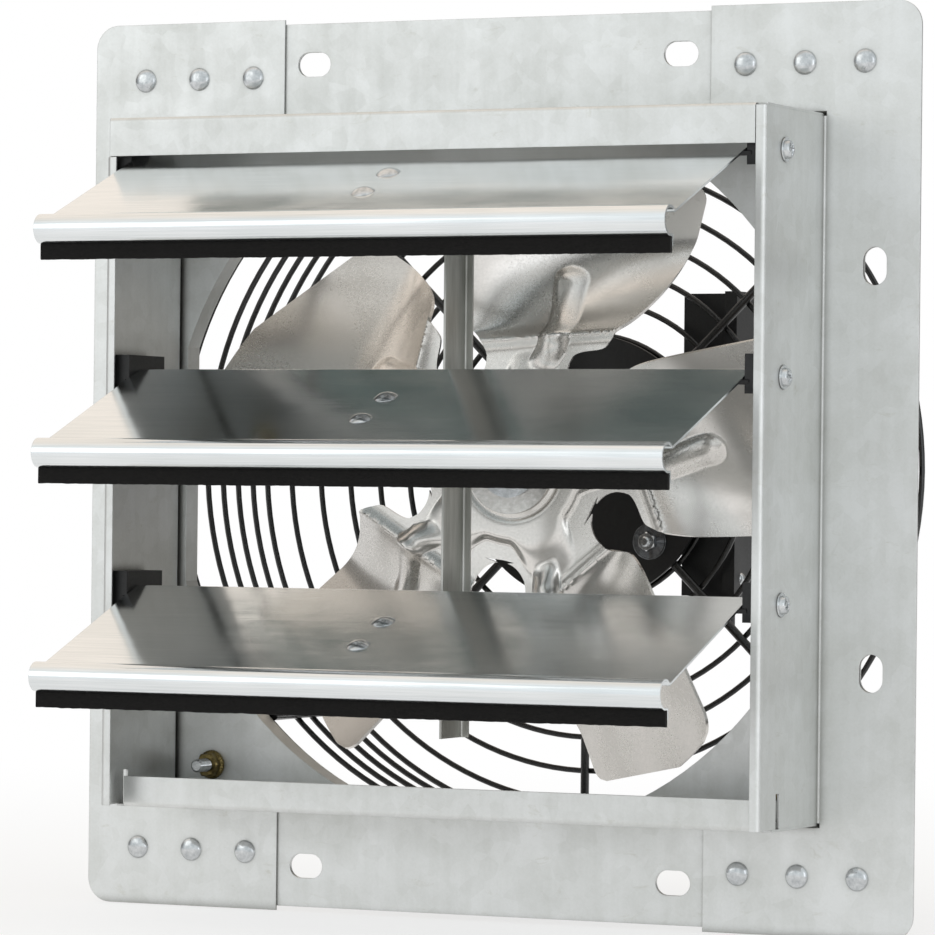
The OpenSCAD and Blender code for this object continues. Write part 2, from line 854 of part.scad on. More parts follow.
module top_louvre() louvre(0);
module middle_louvre() louvre(1);
module bottom_louvre() louvre(2);
module top_felt_strip() felt_strip(0);
module middle_felt_strip() felt_strip(1);
module bottom_felt_strip() felt_strip(2);
module top_end_brackets() end_brackets(0);
module middle_end_brackets() end_brackets(1);
module bottom_end_brackets() end_brackets(2);
module top_link_bracket() link_bracket(0);
module middle_link_bracket() link_bracket(1);
module bottom_link_bracket() link_bracket(2);
module top_link_rivets() link_rivets(0);
module middle_link_rivets() link_rivets(1);
module bottom_link_rivets() link_rivets(2);

module pivot_screws()
    color([0.72, 0.72, 0.7])
        for (side = [0, 1], i = [0:louvre_count - 1])
            mirror([side, 0, 0])
                louvre_at(i) {
                    head = half_w + pivot_washer_t;
                    rod_x(pivot_r, bracket_in + bracket_gap, head);
                    difference() {
                        translate([head, 0, 0])
                            rotate([0, 90, 0])
                                dome(pivot_head_r, pivot_head_h);
                        translate([head + pivot_head_h, 0, 0])
                            for (turn = [0, 90])
                                rotate([turn, 0, 0])
                                    cube([pivot_head_h, pivot_head_r, pivot_head_r / 4], center = true);
                    }
                }

module pivot_washers()
    color([0.82, 0.82, 0.8])
        for (side = [0, 1], i = [0:louvre_count - 1])
            mirror([side, 0, 0])
                louvre_at(i)
                    difference() {
                        rod_x(pivot_washer_r, half_w, half_w + pivot_washer_t);
                        rod_x(pivot_r, half_w - over, half_w + pivot_washer_t + over);
                    }

// Tie bar

module tie_bar()
    color([0.6, 0.62, 0.64])
        difference() {
            translate([0, pivot_y + pin_back - bar_front, pivot_z(louvre_count - 1) - pin_drop - bar_below])
                linear_extrude((louvre_count - 1) * louvre_pitch + bar_below + bar_above)
                    translate([bar_face, bar_width])
                        mirror([0, 1])
                            bent(bar_flange, bar_width, bar_sheet, 2 * bar_sheet);
            for (i = [0:louvre_count - 1])
                louvre_at(i)
                    rod_x(pin_r, bar_face - over, bar_face + bar_sheet + over, pin[0], pin[1]);
        }

module tie_pins()
    color([0.8, 0.8, 0.78])
        for (i = [0:louvre_count - 1])
            louvre_at(i) {
                inner = link_face - bar_sheet - pin_play;
                outer = bar_face + bar_sheet;
                rod_x(pin_head_r, inner - pin_head_t, inner, pin[0], pin[1]);
                rod_x(pin_r, inner, outer, pin[0], pin[1]);
                rod_x(pin_head_r, outer, outer + pin_head_t, pin[0], pin[1]);
            }

// Fan

// Share of the pitch that a blade has reached at a radius
function pitch_share(r) =
    let (x = max(0, min(1, (r - hub_plate_r) / (fan_r / 2))))
    x * x * (3 - 2 * x);

// A point of a blade: row and column, and which side of the sheet
function blade_point(row, column, side) =
    let (
        s = blade_row_shares[row],
        c = blade_column_shares[column],
        turn = c < 0 ? -c * s[1] : c * s[2],
        across = (turn - s[1]) / (s[2] - s[1]),
        trail_r = blade_root_r + s[0] * (fan_trail_r - blade_root_r),
        lead_r = blade_root_r + s[0] * (fan_r - blade_root_r),
        r = trail_r + (lead_r - trail_r) * across * (2 - across),
        k = pitch_share(r),
        rib = column == rib_column ? rib_h * s[3] : 0,
        half = fan_sheet / 2 * norm([1, k * fan_slope]))
    [r * cos(turn),
     hub_depth + k * (fan_lean - fan_slope * r * sin(turn)) - rib + side * half,
     r * sin(turn)];

module blade_sheet_metal() {
    rows = len(blade_row_shares);
    columns = len(blade_column_shares);
    function at(side, i, j) = (side * rows + i) * columns + j;
    points = [for (side = [-1, 1], i = [0:rows - 1], j = [0:columns - 1]) blade_point(i, j, side)];
    front = [for (i = [0:rows - 2], j = [0:columns - 2])
        each [[at(0, i, j), at(0, i, j + 1), at(0, i + 1, j + 1)],
              [at(0, i, j), at(0, i + 1, j + 1), at(0, i + 1, j)]]];
    back = [for (i = [0:rows - 2], j = [0:columns - 2])
        each [[at(1, i, j), at(1, i + 1, j + 1), at(1, i, j + 1)],
              [at(1, i, j), at(1, i + 1, j), at(1, i + 1, j + 1)]]];
    last = columns - 1;
    end = rows - 1;
    edges = [for (i = [0:rows - 2])
        each [[at(0, i, 0), at(0, i + 1, 0), at(1, i + 1, 0)],
              [at(0, i, 0), at(1, i + 1, 0), at(1, i, 0)],
              [at(0, i + 1, last), at(0, i, last), at(1, i, last)],
              [at(0, i + 1, last), at(1, i, last), at(1, i + 1, last)]]];
    ends = [for (j = [0:columns - 2])
        each [[at(0, 0, j + 1), at(0, 0, j), at(1, 0, j)],
              [at(0, 0, j + 1), at(1, 0, j), at(1, 0, j + 1)],
              [at(0, end, j), at(0, end, j + 1), at(1, end, j + 1)],
              [at(0, end, j), at(1, end, j + 1), at(1, end, j)]]];
    polyhedron(points, concat(front, back, edges, ends));
}

module fan_blades()
    color([0.78, 0.76, 0.72]) {
        for (i = [0:blade_count - 1])
            rotate([0, -first_blade - i * 360 / blade_count, 0])
                blade_sheet_metal();
        difference() {
            half = hub_plate_t / 2;
            slope = hub_step / 2;
            turned()
                polygon([[hub_neck_r, hub_front], [hub_step_r - slope, hub_front],
                         [hub_step_r, hub_depth - half], [hub_plate_r, hub_depth - half],
                         [hub_plate_r, hub_depth + half], [hub_step_r, hub_depth + half],
                         [hub_step_r - slope, hub_front + hub_plate_t],
                         [hub_neck_r, hub_front + hub_plate_t]]);
        }
    }

module fan_hub()
    color([0.62, 0.62, 0.61])
        turned() {
            back = hub_front + hub_plate_t;
            translate([shaft_r, flange_front])
                square([hub_flange_r - shaft_r, hub_flange_t]);
            translate([shaft_r, flange_front])
                square([hub_neck_r - shaft_r, back + hub_sleeve - flange_front]);
            translate([shaft_r, back])
                square([hub_sleeve_r - shaft_r, hub_sleeve]);
        }

module hub_washer()
    color([0.8, 0.8, 0.78])
        difference() {
            rod_y(hub_washer_r, washer_front, flange_front);
            rod_y(shaft_end_r, washer_front - over, flange_front + over);
        }

module hub_nut()
    color([0.7, 0.7, 0.68])
        difference() {
            rod_y(hub_nut_r, nut_front, washer_front, sides = hex);
            rod_y(shaft_end_r, nut_front - over, washer_front + over);
        }

module motor_shaft()
    color([0.6, 0.6, 0.6]) {
        rod_y(shaft_end_r, shaft_tip, flange_front);
        rod_y(shaft_r, flange_front, shaft_back);
    }

module rotor_core()
    color([0.5, 0.5, 0.52])
        difference() {
            rod_y(core_r, core_y, core_y + core_length);
            rod_y(shaft_r, core_y - over, core_y + core_length + over);
        }

// Guard

module ring(r, wire_r, y)
    turned()
        translate([r, y])
            circle(wire_r);

module guard_mounting_ring()
    color([0.1, 0.1, 0.1])
        ring(guard_r, guard_wire_r, guard_front);

module guard_side_rings()
    color([0.1, 0.1, 0.1])
        for (i = [0:ring_count - 1])
            ring(guard_r, guard_wire_r, ring_start + i * ring_pitch);

module guard_rear_rings()
    color([0.1, 0.1, 0.1])
        for (i = [0:rear_ring_count - 1])
            ring(rear_ring_r - i * rear_ring_pitch, guard_wire_r, rear_ring_y);

module guard_spokes()
    color([0.1, 0.1, 0.1])
        for (i = [0:spoke_count - 1])
            rotate([0, -i * 360 / spoke_count, 0]) {
                turn_x = spoke_ring_r - spoke_bend_r;
                turn_y = spoke_y - spoke_bend_r;
                rod_y(guard_spoke_r, guard_front - guard_spoke_r, turn_y, spoke_ring_r);
                rod_x(guard_spoke_r, guard_gap_r, turn_x, spoke_y);
                translate([turn_x, turn_y, 0])
                    rotate_extrude(angle = 90)
                        translate([spoke_bend_r, 0])
                            circle(guard_spoke_r);
            }

module at_studs()
    for (x = [0, 1], z = [0, 1])
        mirror([x, 0, 0])
            mirror([0, 0, z])
                translate([stud_x, 0, stud_z])
                    children();

module guard_feet()
    color([0.1, 0.1, 0.1])
        for (x = [0, 1], z = [0, 1])
            mirror([x, 0, 0])
                mirror([0, 0, z])
                    rotate([0, -stud_angle, 0])
                        difference() {
                            translate([foot_in, layer[3], -foot_width / 2])
                                linear_extrude(foot_width)
                                    bent(stud_ring_r + foot_end - foot_in,
                                         guard_front + guard_wire_r - layer[3], foot_t, 2 * foot_t);
                            rod_y(stud_r, layer[3] - over, foot_back + over, stud_ring_r);
                        }

module guard_studs()
    color([0.7, 0.6, 0.4])
        at_studs() {
            rod_y(stud_r, layer[2] - stud_out, foot_back);
            rod_y(stud_head_r, foot_back, foot_back + stud_head_h, sides = hex);
        }

module guard_nuts()
    color([0.66, 0.55, 0.36])
        at_studs()
            difference() {
                union() {
                    rod_y(nut_r, layer[2] - nut_h, layer[2] - nut_flange_t, sides = hex);
                    rod_y(nut_flange_r, layer[2] - nut_flange_t, layer[2]);
                }
                rod_y(stud_r, layer[2] - nut_h - over, layer[2] + over);
            }

// Motor

module at_bolts()
    for (x = [0, 1], z = [0, 1])
        mirror([x, 0, 0])
            mirror([0, 0, z])
                rotate([0, -45, 0])
                    translate([bolt_ring_r, 0, 0])
                        children();

module motor_plate()
    color([0.1, 0.1, 0.1])
        difference() {
            rod_y(motor_plate_r, motor_front, plate_back);
            rod_y(motor_plate_hole_r, motor_front - over, plate_back + over);
            at_bolts()
                rod_y(bolt_r, motor_front - over, plate_back + over);
        }

module motor_bolts()
    color([0.6, 0.6, 0.58])
        at_bolts() {
            rod_y(bolt_r, motor_front - bolt_washer_t - bolt_nut_h - bolt_out, cap_back);
            rod_y(bolt_nut_r, cap_back, cap_back + bolt_nut_h, sides = hex);
        }

module motor_washers()
    color([0.85, 0.85, 0.85])
        at_bolts()
            difference() {
                rod_y(bolt_washer_r, motor_front - bolt_washer_t, motor_front);
                rod_y(bolt_r, motor_front - bolt_washer_t - over, motor_front + over);
            }

module motor_nuts()
    color([0.7, 0.7, 0.68])
        at_bolts()
            difference() {
                face = motor_front - bolt_washer_t;
                rod_y(bolt_nut_r, face - bolt_nut_h, face, sides = hex);
                rod_y(bolt_r, face - bolt_nut_h - over, face + over);
            }

module motor_front_cap()
    color([0.16, 0.16, 0.16])
        difference() {
            turned()
                polygon([[cap_hole_r, plate_back], [motor_cap_r, plate_back],
                         [motor_cap_r, cap_back], [bearing_r + bearing_wall, cap_back],
                         [bearing_r + bearing_wall, cap_back + bearing_w],
                         [bearing_r, cap_back + bearing_w], [bearing_r, cap_back],
                         [cap_hole_r, cap_back]]);
            at_bolts()
                rod_y(bolt_r, plate_back - over, cap_back + over);
        }

module motor_shell()
    color([0.14, 0.14, 0.14])
        difference() {
            rod_y(motor_r, cap_back, shell_back);
            rod_y(core_out, cap_back - over, shell_back + over);
            rod_x(lead_hole_r, core_out - 2 * shell_t, motor_r + over, lead_y);
        }

module motor_rear_cap()
    color([0.16, 0.16, 0.16])
        turned()
            polygon([[0, shaft_back + air_gap], [cap_hole_r, shaft_back + air_gap],
                     [cap_hole_r, rear_bearing_y + bearing_w], [bearing_r, rear_bearing_y + bearing_w],
                     [bearing_r, rear_bearing_y], [bearing_r + bearing_wall, rear_bearing_y],
                     [bearing_r + bearing_wall, shell_back], [motor_r, shell_back],
                     [motor_r, rear_cap_back], [0, rear_cap_back]]);

module stator_core()
    color([0.45, 0.45, 0.47])
        difference() {
            rod_y(core_out, core_y, core_y + core_length);
            rod_y(core_r + air_gap, core_y - over, core_y + core_length + over);
            for (i = [0:slot_count - 1])
                rotate([0, i * 360 / slot_count, 0])
                    translate([0, core_y - over, -core_slot / 2])
                        cube([(core_r + core_out) / 2, core_length + 2 * over, core_slot]);
        }

module stator_windings()
    color([0.7, 0.4, 0.2])
        for (y = [core_y - winding_length, core_y + core_length])
            difference() {
                rod_y(lead_start, y, y + winding_length);
                rod_y(core_r + 2 * shell_t, y - over, y + winding_length + over);
            }

module bearing(y)
    color([0.7, 0.7, 0.72])
        difference() {
            rod_y(bearing_r, y, y + bearing_w);
            rod_y(shaft_r + run_gap, y - over, y + bearing_w + over);
        }

module front_bearing() bearing(front_bearing_y);
module rear_bearing() bearing(rear_bearing_y);

// Junction box

module at_cover_screws()
    for (end = [-1, 1])
        translate([0, jbox_mid_y + end * (jbox_depth / 2 - post_in),
                   jbox_mid + end * (jbox_height / 2 - post_in)])
            children();

gland_z = jbox_low - gland_hex_h - gland_length;

module junction_box()
    color([0.12, 0.12, 0.12])
        difference() {
            union() {
                difference() {
                    translate([jbox_in, jbox_front, jbox_low])
                        cube([jbox_cover_x - jbox_in, jbox_depth, jbox_height]);
                    translate([floor_x, jbox_front + jbox_wall, jbox_low + jbox_wall])
                        cube([jbox_width, jbox_depth - 2 * jbox_wall, jbox_height - 2 * jbox_wall]);
                }
                at_cover_screws()
                    rod_x(post_r, floor_x - over, jbox_cover_x);
            }
            at_cover_screws()
                rod_x(cover_screw_r, floor_x + over, jbox_cover_x + over);
            rod_x(lead_hole_r, jbox_in - over, floor_x + over, lead_y);
            translate([(floor_x + jbox_cover_x) / 2, jbox_mid_y, jbox_low - over])
                cylinder(r = gland_thread_r, h = jbox_wall + 2 * over);
        }

module junction_box_cover()
    color([0.12, 0.12, 0.12])
        difference() {
            translate([jbox_cover_x, jbox_front - cover_step, jbox_low - cover_step])
                cube([cover_t, jbox_depth + 2 * cover_step, jbox_height + 2 * cover_step]);
            difference() {
                translate([jbox_cover_x - over, jbox_front + jbox_wall, jbox_low + jbox_wall])
                    cube([cover_t - jbox_wall + over, jbox_depth - 2 * jbox_wall,
                          jbox_height - 2 * jbox_wall]);
                at_cover_screws()
                    rod_x(post_r, jbox_cover_x - cover_t, jbox_out);
            }
            at_cover_screws()
                rod_x(cover_screw_r, jbox_cover_x - over, jbox_out + over);
        }

module cover_screws()
    color([0.5, 0.5, 0.5])
        at_cover_screws() {
            rod_x(cover_screw_r, floor_x + jbox_wall, jbox_out);
            translate([jbox_out, 0, 0])
                rotate([0, 90, 0])
                    dome(cover_head_r, cover_head_h);
        }

// The block between the motor's shell and the junction box
module junction_box_saddle()
    color([0.2, 0.2, 0.2])
        difference() {
            translate([motor_r - 2 * jbox_gap, lead_y - saddle_half / 2 - jbox_wall, -saddle_half])
                cube([3 * jbox_gap, saddle_half + jbox_wall, 2 * saddle_half]);
            rod_y(motor_r, cap_back, rear_cap_back);
            rod_x(lead_hole_r, motor_r - 3 * jbox_gap, jbox_in + over, lead_y);
        }

module terminal_block()
    color([0.85, 0.83, 0.76])
        difference() {
            translate([floor_x, lead_y - terminal_size[1] / 2, -terminal_size[2] / 2])
                cube(terminal_size);
            for (i = [-1, 0, 1])
                rod_x(lead_r, floor_x - over, floor_x + lead_grip, lead_y, i * lead_pitch);
        }

module run_capacitor()
    color([0.3, 0.3, 0.32])
        translate([floor_x + capacitor_r, jbox_mid_y, jbox_high - 2 * post_in - capacitor_length])
            cylinder(r = capacitor_r, h = capacitor_length);

module motor_leads()
    color([0.6, 0.1, 0.1])
        for (i = [-1, 0, 1])
            rod_x(lead_r, lead_start, floor_x + lead_grip, lead_y, i * lead_pitch);

module cable_gland()
    color([0.1, 0.1, 0.1])
        translate([(floor_x + jbox_cover_x) / 2, jbox_mid_y, gland_z])
            difference() {
                union() {
                    cylinder(r = gland_r, h = gland_length);
                    translate([0, 0, gland_length])
                        cylinder(r = gland_hex_r, h = gland_hex_h, $fn = hex);
                    translate([0, 0, gland_length + gland_hex_h])
                        cylinder(r = gland_thread_r, h = gland_thread);
                }
                translate([0, 0, -over])
                    cylinder(r = gland_hole_r, h = gland_length + gland_hex_h + gland_thread + 2 * over);
            }

left_side_panel();
right_side_panel();
top_panel();
bottom_panel();
orifice_panel();
flange_rivets();
pivot_screws();
pivot_washers();
top_louvre();
middle_louvre();
bottom_louvre();
top_felt_strip();
middle_felt_strip();
bottom_felt_strip();
top_end_brackets();
middle_end_brackets();
bottom_end_brackets();
top_link_bracket();
middle_link_bracket();
bottom_link_bracket();
top_link_rivets();
middle_link_rivets();
bottom_link_rivets();
tie_bar();
tie_pins();
fan_blades();
fan_hub();
hub_washer();
hub_nut();
motor_shaft();
rotor_core();
guard_mounting_ring();
guard_side_rings();
guard_rear_rings();
guard_spokes();
guard_feet();
guard_studs();
guard_nuts();
motor_plate();
motor_bolts();
motor_nuts();
motor_washers();
motor_front_cap();
motor_shell();
motor_rear_cap();
stator_core();
stator_windings();
front_bearing();
rear_bearing();
junction_box();
junction_box_cover();
cover_screws();
junction_box_saddle();
terminal_block();
run_capacitor();
motor_leads();
cable_gland();
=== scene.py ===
import bmesh
import bpy
from math import acos, asin, cos, degrees, exp, log, pi, radians, sin, sqrt, tan
from mathutils import Matrix, Vector, noise


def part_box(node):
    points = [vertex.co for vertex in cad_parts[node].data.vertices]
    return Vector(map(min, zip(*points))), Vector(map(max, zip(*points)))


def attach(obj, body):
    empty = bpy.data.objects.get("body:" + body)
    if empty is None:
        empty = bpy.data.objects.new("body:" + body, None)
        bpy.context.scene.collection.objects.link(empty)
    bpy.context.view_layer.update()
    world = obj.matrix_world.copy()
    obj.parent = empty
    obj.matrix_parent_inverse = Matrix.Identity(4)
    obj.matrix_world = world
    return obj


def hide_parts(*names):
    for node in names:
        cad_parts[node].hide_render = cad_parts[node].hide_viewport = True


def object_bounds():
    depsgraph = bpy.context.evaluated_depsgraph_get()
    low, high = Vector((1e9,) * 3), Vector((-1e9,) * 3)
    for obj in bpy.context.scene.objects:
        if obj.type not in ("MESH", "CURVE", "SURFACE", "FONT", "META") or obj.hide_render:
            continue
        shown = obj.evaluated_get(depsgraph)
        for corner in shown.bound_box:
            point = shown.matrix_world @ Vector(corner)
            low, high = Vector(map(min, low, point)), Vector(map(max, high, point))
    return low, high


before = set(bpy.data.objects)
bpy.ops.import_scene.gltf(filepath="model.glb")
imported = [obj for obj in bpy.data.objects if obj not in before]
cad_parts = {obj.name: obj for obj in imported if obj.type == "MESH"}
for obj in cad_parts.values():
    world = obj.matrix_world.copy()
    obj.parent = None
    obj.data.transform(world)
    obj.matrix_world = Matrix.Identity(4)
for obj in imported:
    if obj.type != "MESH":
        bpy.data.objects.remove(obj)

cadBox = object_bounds()  # before anything is added
mm = 0.001


def linearColour(hexText):
    # sRGB hex to the linear values that the shaders take
    parts = [int(hexText[i:i + 2], 16) / 255 for i in (1, 3, 5)]
    return [p / 12.92 if p <= 0.04045 else ((p + 0.055) / 1.055) ** 2.4 for p in parts] + [1.0]


viewpoint = {
    "aimPoint": (-10.70, -3.0, -0.452),  # mm, close to the middle of the flange
    "yaw": 25.093,  # degrees round to the right
    "pitch": -0.2456,
    "roll": 0.6068,
    "distance": 2221.2,  # mm
    "sensor": 36.0,
    "lens": 192.7,
    "nearest": 0.05,  # metres
    "farthest": 60,
}


def placeCamera(v):
    yaw, pitch, roll = radians(v["yaw"]), radians(v["pitch"]), radians(v["roll"])
    ahead = Vector((-sin(yaw) * cos(pitch), cos(yaw) * cos(pitch), -sin(pitch)))
    level = Vector((cos(yaw), sin(yaw), 0))
    upright = level.cross(ahead)
    right = cos(roll) * level + sin(roll) * upright
    up = cos(roll) * upright - sin(roll) * level
    spot = (Vector(v["aimPoint"]) - ahead * v["distance"]) * mm
    data = bpy.data.cameras.new("camera")
    data.sensor_width = v["sensor"]
    data.lens = v["lens"]
    data.clip_start = v["nearest"]
    data.clip_end = v["farthest"]
    camera = bpy.data.objects.new("camera", data)
    camera.matrix_world = Matrix((
        (right.x, up.x, -ahead.x, spot.x),
        (right.y, up.y, -ahead.y, spot.y),
        (right.z, up.z, -ahead.z, spot.z),
        (0, 0, 0, 1)))
    bpy.context.scene.collection.objects.link(camera)
    bpy.context.scene.camera = camera


placeCamera(viewpoint)
bpy.context.scene.view_settings.view_transform = "Standard"


def addNode(tree, kind, inputs=None, ramp=(), **settings):
    # adds one shader node; a socket in inputs becomes a link, anything else its value,
    # and ramp holds the place and the colour of each end of a colour ramp
    node = tree.nodes.new(kind)
    for name, value in settings.items():
        setattr(node, name, value)
    for name, value in (inputs or {}).items():
        if isinstance(value, bpy.types.NodeSocket):
            tree.links.new(value, node.inputs[name])
        else:
            node.inputs[name].default_value = value
    for end, (spot, hexText) in enumerate(ramp):
        node.color_ramp.elements[end].position = spot
        node.color_ramp.elements[end].color = linearColour(hexText)
    return node


studio = {
    # the darker parts of the room: direction, where the fall-off starts and ends, how dark
    "darkSides": (((0.46, 0.88, -0.05), 0.35, 0.92, 0.70),
                  ((-0.96, 0.20, -0.22), 0.55, 0.90, 0.70)),
    "strength": 1.06,
    "warmSide": ((-0.40, 0.55, 0.70), 0.1, 0.9),  # a cream wall, high behind on the left
    "coolColour": "#F2F7F9",
    "warmColour": "#FFF5EA",
    "lamps": {  # place in metres, size, power, colour
        "key_softbox": ((-1.5, -1.9, 0.75), 1.2, 3.0, "#FFFDF8"),
        "fill_softbox": ((1.7, -1.3, 0.3), 1.1, 3.5, "#F6F9FF"),
    },
    "floorColour": "#F4F4F3",
    "floorRough": 0.9,
    "floorShine": 0.1,
    "floorGlow": 0.7,  # share of plain white that the camera sees in the floor under the fan
    "glowReach": (0.2, 1.3),  # metres; past the second the floor is all white
    "floorGap": 0.0005,  # metres
    "floorCorners": ((-5, -4.5), (5, -4.5), (5, 5), (-5, 5)),  # metres
    "backColour": "#FFFFFF",
    "cardColour": "#56625F",
    "cardPlace": (-345, 60, 250, 272, 440),  # mm: left, right, depth, foot, top
}


def lightStudio(s):
    world = bpy.data.worlds.new("studio")
    bpy.context.scene.world = world
    world.use_nodes = True
    tree = world.node_tree
    tree.nodes.clear()
    look = addNode(tree, "ShaderNodeTexCoord").outputs["Generated"]

    def share(side, start, end):
        # how far a direction lies towards one side of the room
        towards = addNode(tree, "ShaderNodeVectorMath",
                          {0: look, 1: tuple(Vector(side).normalized())}, operation="DOT_PRODUCT")
        return addNode(tree, "ShaderNodeMapRange",
                       {"Value": towards.outputs["Value"], "From Min": start, "From Max": end},
                       interpolation_type="SMOOTHSTEP").outputs["Result"]

    tint = addNode(tree, "ShaderNodeMix",
                   {0: share(*s["warmSide"]), 6: linearColour(s["coolColour"]),
                    7: linearColour(s["warmColour"])}, data_type="RGBA")
    power = addNode(tree, "ShaderNodeValue")
    power.outputs[0].default_value = s["strength"]
    for side, start, end, drop in s["darkSides"]:
        left = addNode(tree, "ShaderNodeMath", {0: share(side, start, end), 1: -drop, 2: 1.0},
                       operation="MULTIPLY_ADD")
        power = addNode(tree, "ShaderNodeMath", {0: power.outputs[0], 1: left.outputs[0]},
                        operation="MULTIPLY")
    sky = addNode(tree, "ShaderNodeBackground",
                  {"Color": tint.outputs[2], "Strength": power.outputs[0]})
    plain = addNode(tree, "ShaderNodeBackground", {"Color": linearColour(s["backColour"])})
    ray = addNode(tree, "ShaderNodeLightPath")
    shown = addNode(tree, "ShaderNodeMixShader",
                    {0: ray.outputs["Is Camera Ray"], 1: sky.outputs[0], 2: plain.outputs[0]})
    addNode(tree, "ShaderNodeOutputWorld", {"Surface": shown.outputs[0]})

    for name, (place, size, watts, colour) in s["lamps"].items():
        lamp = bpy.data.lights.new(name, "AREA")
        lamp.shape = "SQUARE"
        lamp.size = size
        lamp.energy = watts
        lamp.color = linearColour(colour)[:3]
        holder = bpy.data.objects.new(name, lamp)
        holder.location = place
        holder.rotation_euler = Vector(place).to_track_quat("Z", "Y").to_euler()
        bpy.context.scene.collection.objects.link(holder)


def startFinish(name):
    material = bpy.data.materials.new(name)
    material.use_nodes = True
    tree = material.node_tree
    place = addNode(tree, "ShaderNodeTexCoord").outputs["Object"]
    return material, tree, tree.nodes["Principled BSDF"], place


lookNames = {"base": "Base Color", "metallic": "Metallic", "rough": "Roughness",
             "coat": "Coat Weight", "coatRough": "Coat Roughness", "sheen": "Sheen Weight",
             "sheenRough": "Sheen Roughness", "specular": "Specular IOR Level"}


def setLook(shader, **values):
    for name, value in values.items():
        shader.inputs[lookNames[name]].default_value = value


def stagePlane(name, corners, material):
    mesh = bpy.data.meshes.new(name)
    mesh.from_pydata(corners, [], [tuple(range(len(corners)))])
    mesh.materials.append(material)
    plane = bpy.data.objects.new(name, mesh)
    bpy.context.scene.collection.objects.link(plane)
    return plane


def layStage(s):
    # the floor is matt white paper: it takes the fan's shadow
    paper, tree, shader, place = startFinish("floor_paper")
    setLook(shader, base=linearColour(s["floorColour"]), rough=s["floorRough"],
            specular=s["floorShine"])
    ray = addNode(tree, "ShaderNodeLightPath")
    seen = addNode(tree, "ShaderNodeMath",
                   {0: ray.outputs["Is Camera Ray"], 1: ray.outputs["Is Glossy Ray"]},
                   operation="MAXIMUM")
    away = addNode(tree, "ShaderNodeVectorMath", {0: place}, operation="LENGTH")
    near, far = s["glowReach"]
    glow = addNode(tree, "ShaderNodeMapRange",
                   {"Value": away.outputs["Value"], "From Min": near, "From Max": far,
                    "To Min": s["floorGlow"], "To Max": 1.0}, interpolation_type="SMOOTHSTEP")
    lit = addNode(tree, "ShaderNodeMath", {0: seen.outputs[0], 1: glow.outputs["Result"]},
                  operation="MULTIPLY")
    white = addNode(tree, "ShaderNodeEmission", {"Color": linearColour(s["backColour"])})
    lifted = addNode(tree, "ShaderNodeMixShader",
                     {0: lit.outputs[0], 1: shader.outputs[0], 2: white.outputs[0]})
    tree.links.new(lifted.outputs[0], tree.nodes["Material Output"].inputs["Surface"])
    low = cadBox[0][2] - s["floorGap"]
    stagePlane("floor", [(x, y, low) for x, y in s["floorCorners"]], paper)

    # a dark card hangs over and behind the fan; only the bright louvres mirror it
    card, _, shader, _ = startFinish("dark_card")
    setLook(shader, base=linearColour(s["cardColour"]), rough=1.0)
    x0, x1, y, z0, z1 = (value * mm for value in s["cardPlace"])
    flag = stagePlane("flag", [(x0, y, z0), (x1, y, z0), (x1, y, z1), (x0, y, z1)], card)
    flag.visible_camera = flag.visible_diffuse = flag.visible_shadow = False


lightStudio(studio)
layStage(studio)
print("stage: camera, lamps, floor and card stand")


def shadeBy(tree, shader, pattern, low, high, ends=(0.3, 0.7)):
    # the roughness runs from low to high across a pattern
    rough = addNode(tree, "ShaderNodeMapRange",
                    {"Value": pattern, "From Min": ends[0], "From Max": ends[1],
                     "To Min": low, "To Max": high})
    tree.links.new(rough.outputs["Result"], shader.inputs["Roughness"])


def raiseBy(tree, shader, layers, edge=0.0):
    # layers are (pattern, depth in mm, strength); edge rounds the light on cut edges, in mm
    under = None
    if edge:
        under = addNode(tree, "ShaderNodeBevel", {"Radius": edge * mm}, samples=3).outputs["Normal"]
    for pattern, depth, strength in layers:
        inputs = {"Height": pattern, "Distance": depth * mm, "Strength": strength}
        if under is not None:
            inputs["Normal"] = under
        under = addNode(tree, "ShaderNodeBump", inputs).outputs["Normal"]
    tree.links.new(under, shader.inputs["Normal"])


# Hot-dip galvanised steel sheet, as rolled: pale, cloudy, with a fine grain and a few scuffs
galvanised = {
    "light": "#DDDEDD",
    "dark": "#D0D1CE",
    "toneEnds": (0.34, 0.64),
    "cloudSize": 34.0,  # mm, the drifts of tone in the zinc
    "cloudShare": 0.52,
    "spangleSize": 7.0,  # mm, the crystals
    "spangleShare": 0.10,
    "grainSize": 1.3,  # mm; the real one is about 0.4 mm, drawn coarser to show
    "grainShare": 0.20,
    "streakSize": 4.167,  # mm, the marks of the rolls
    "streakStretch": (1, 1, 0.06),
    "streakShare": 0.18,
    "scuffSize": 16.0,  # mm
    "scuffStretch": (1, 1, 2.2),
    "scuffEnds": (0.60, 0.78),
    "scuffMost": 0.75,
    "stain": "#BFBEB4",
    # the dark grey that ambient occlusion lays into seams and inner corners: painted shade
    "seamShade": "#5E5C55",
    "seamShadeReach": 5.0,  # mm
    "seamShadeEnds": (0.35, 0.92),
    "seamShadeMost": 0.8,
    "roughLow": 0.36,
    "roughHigh": 0.52,
    "waveSize": 71.43,  # mm, how far apart the sheet's slow waves are
    "wave": (0.8, 0.22),  # depth in mm, strength
    "tooth": (0.06, 0.4),
    "edge": 0.5,  # mm
}


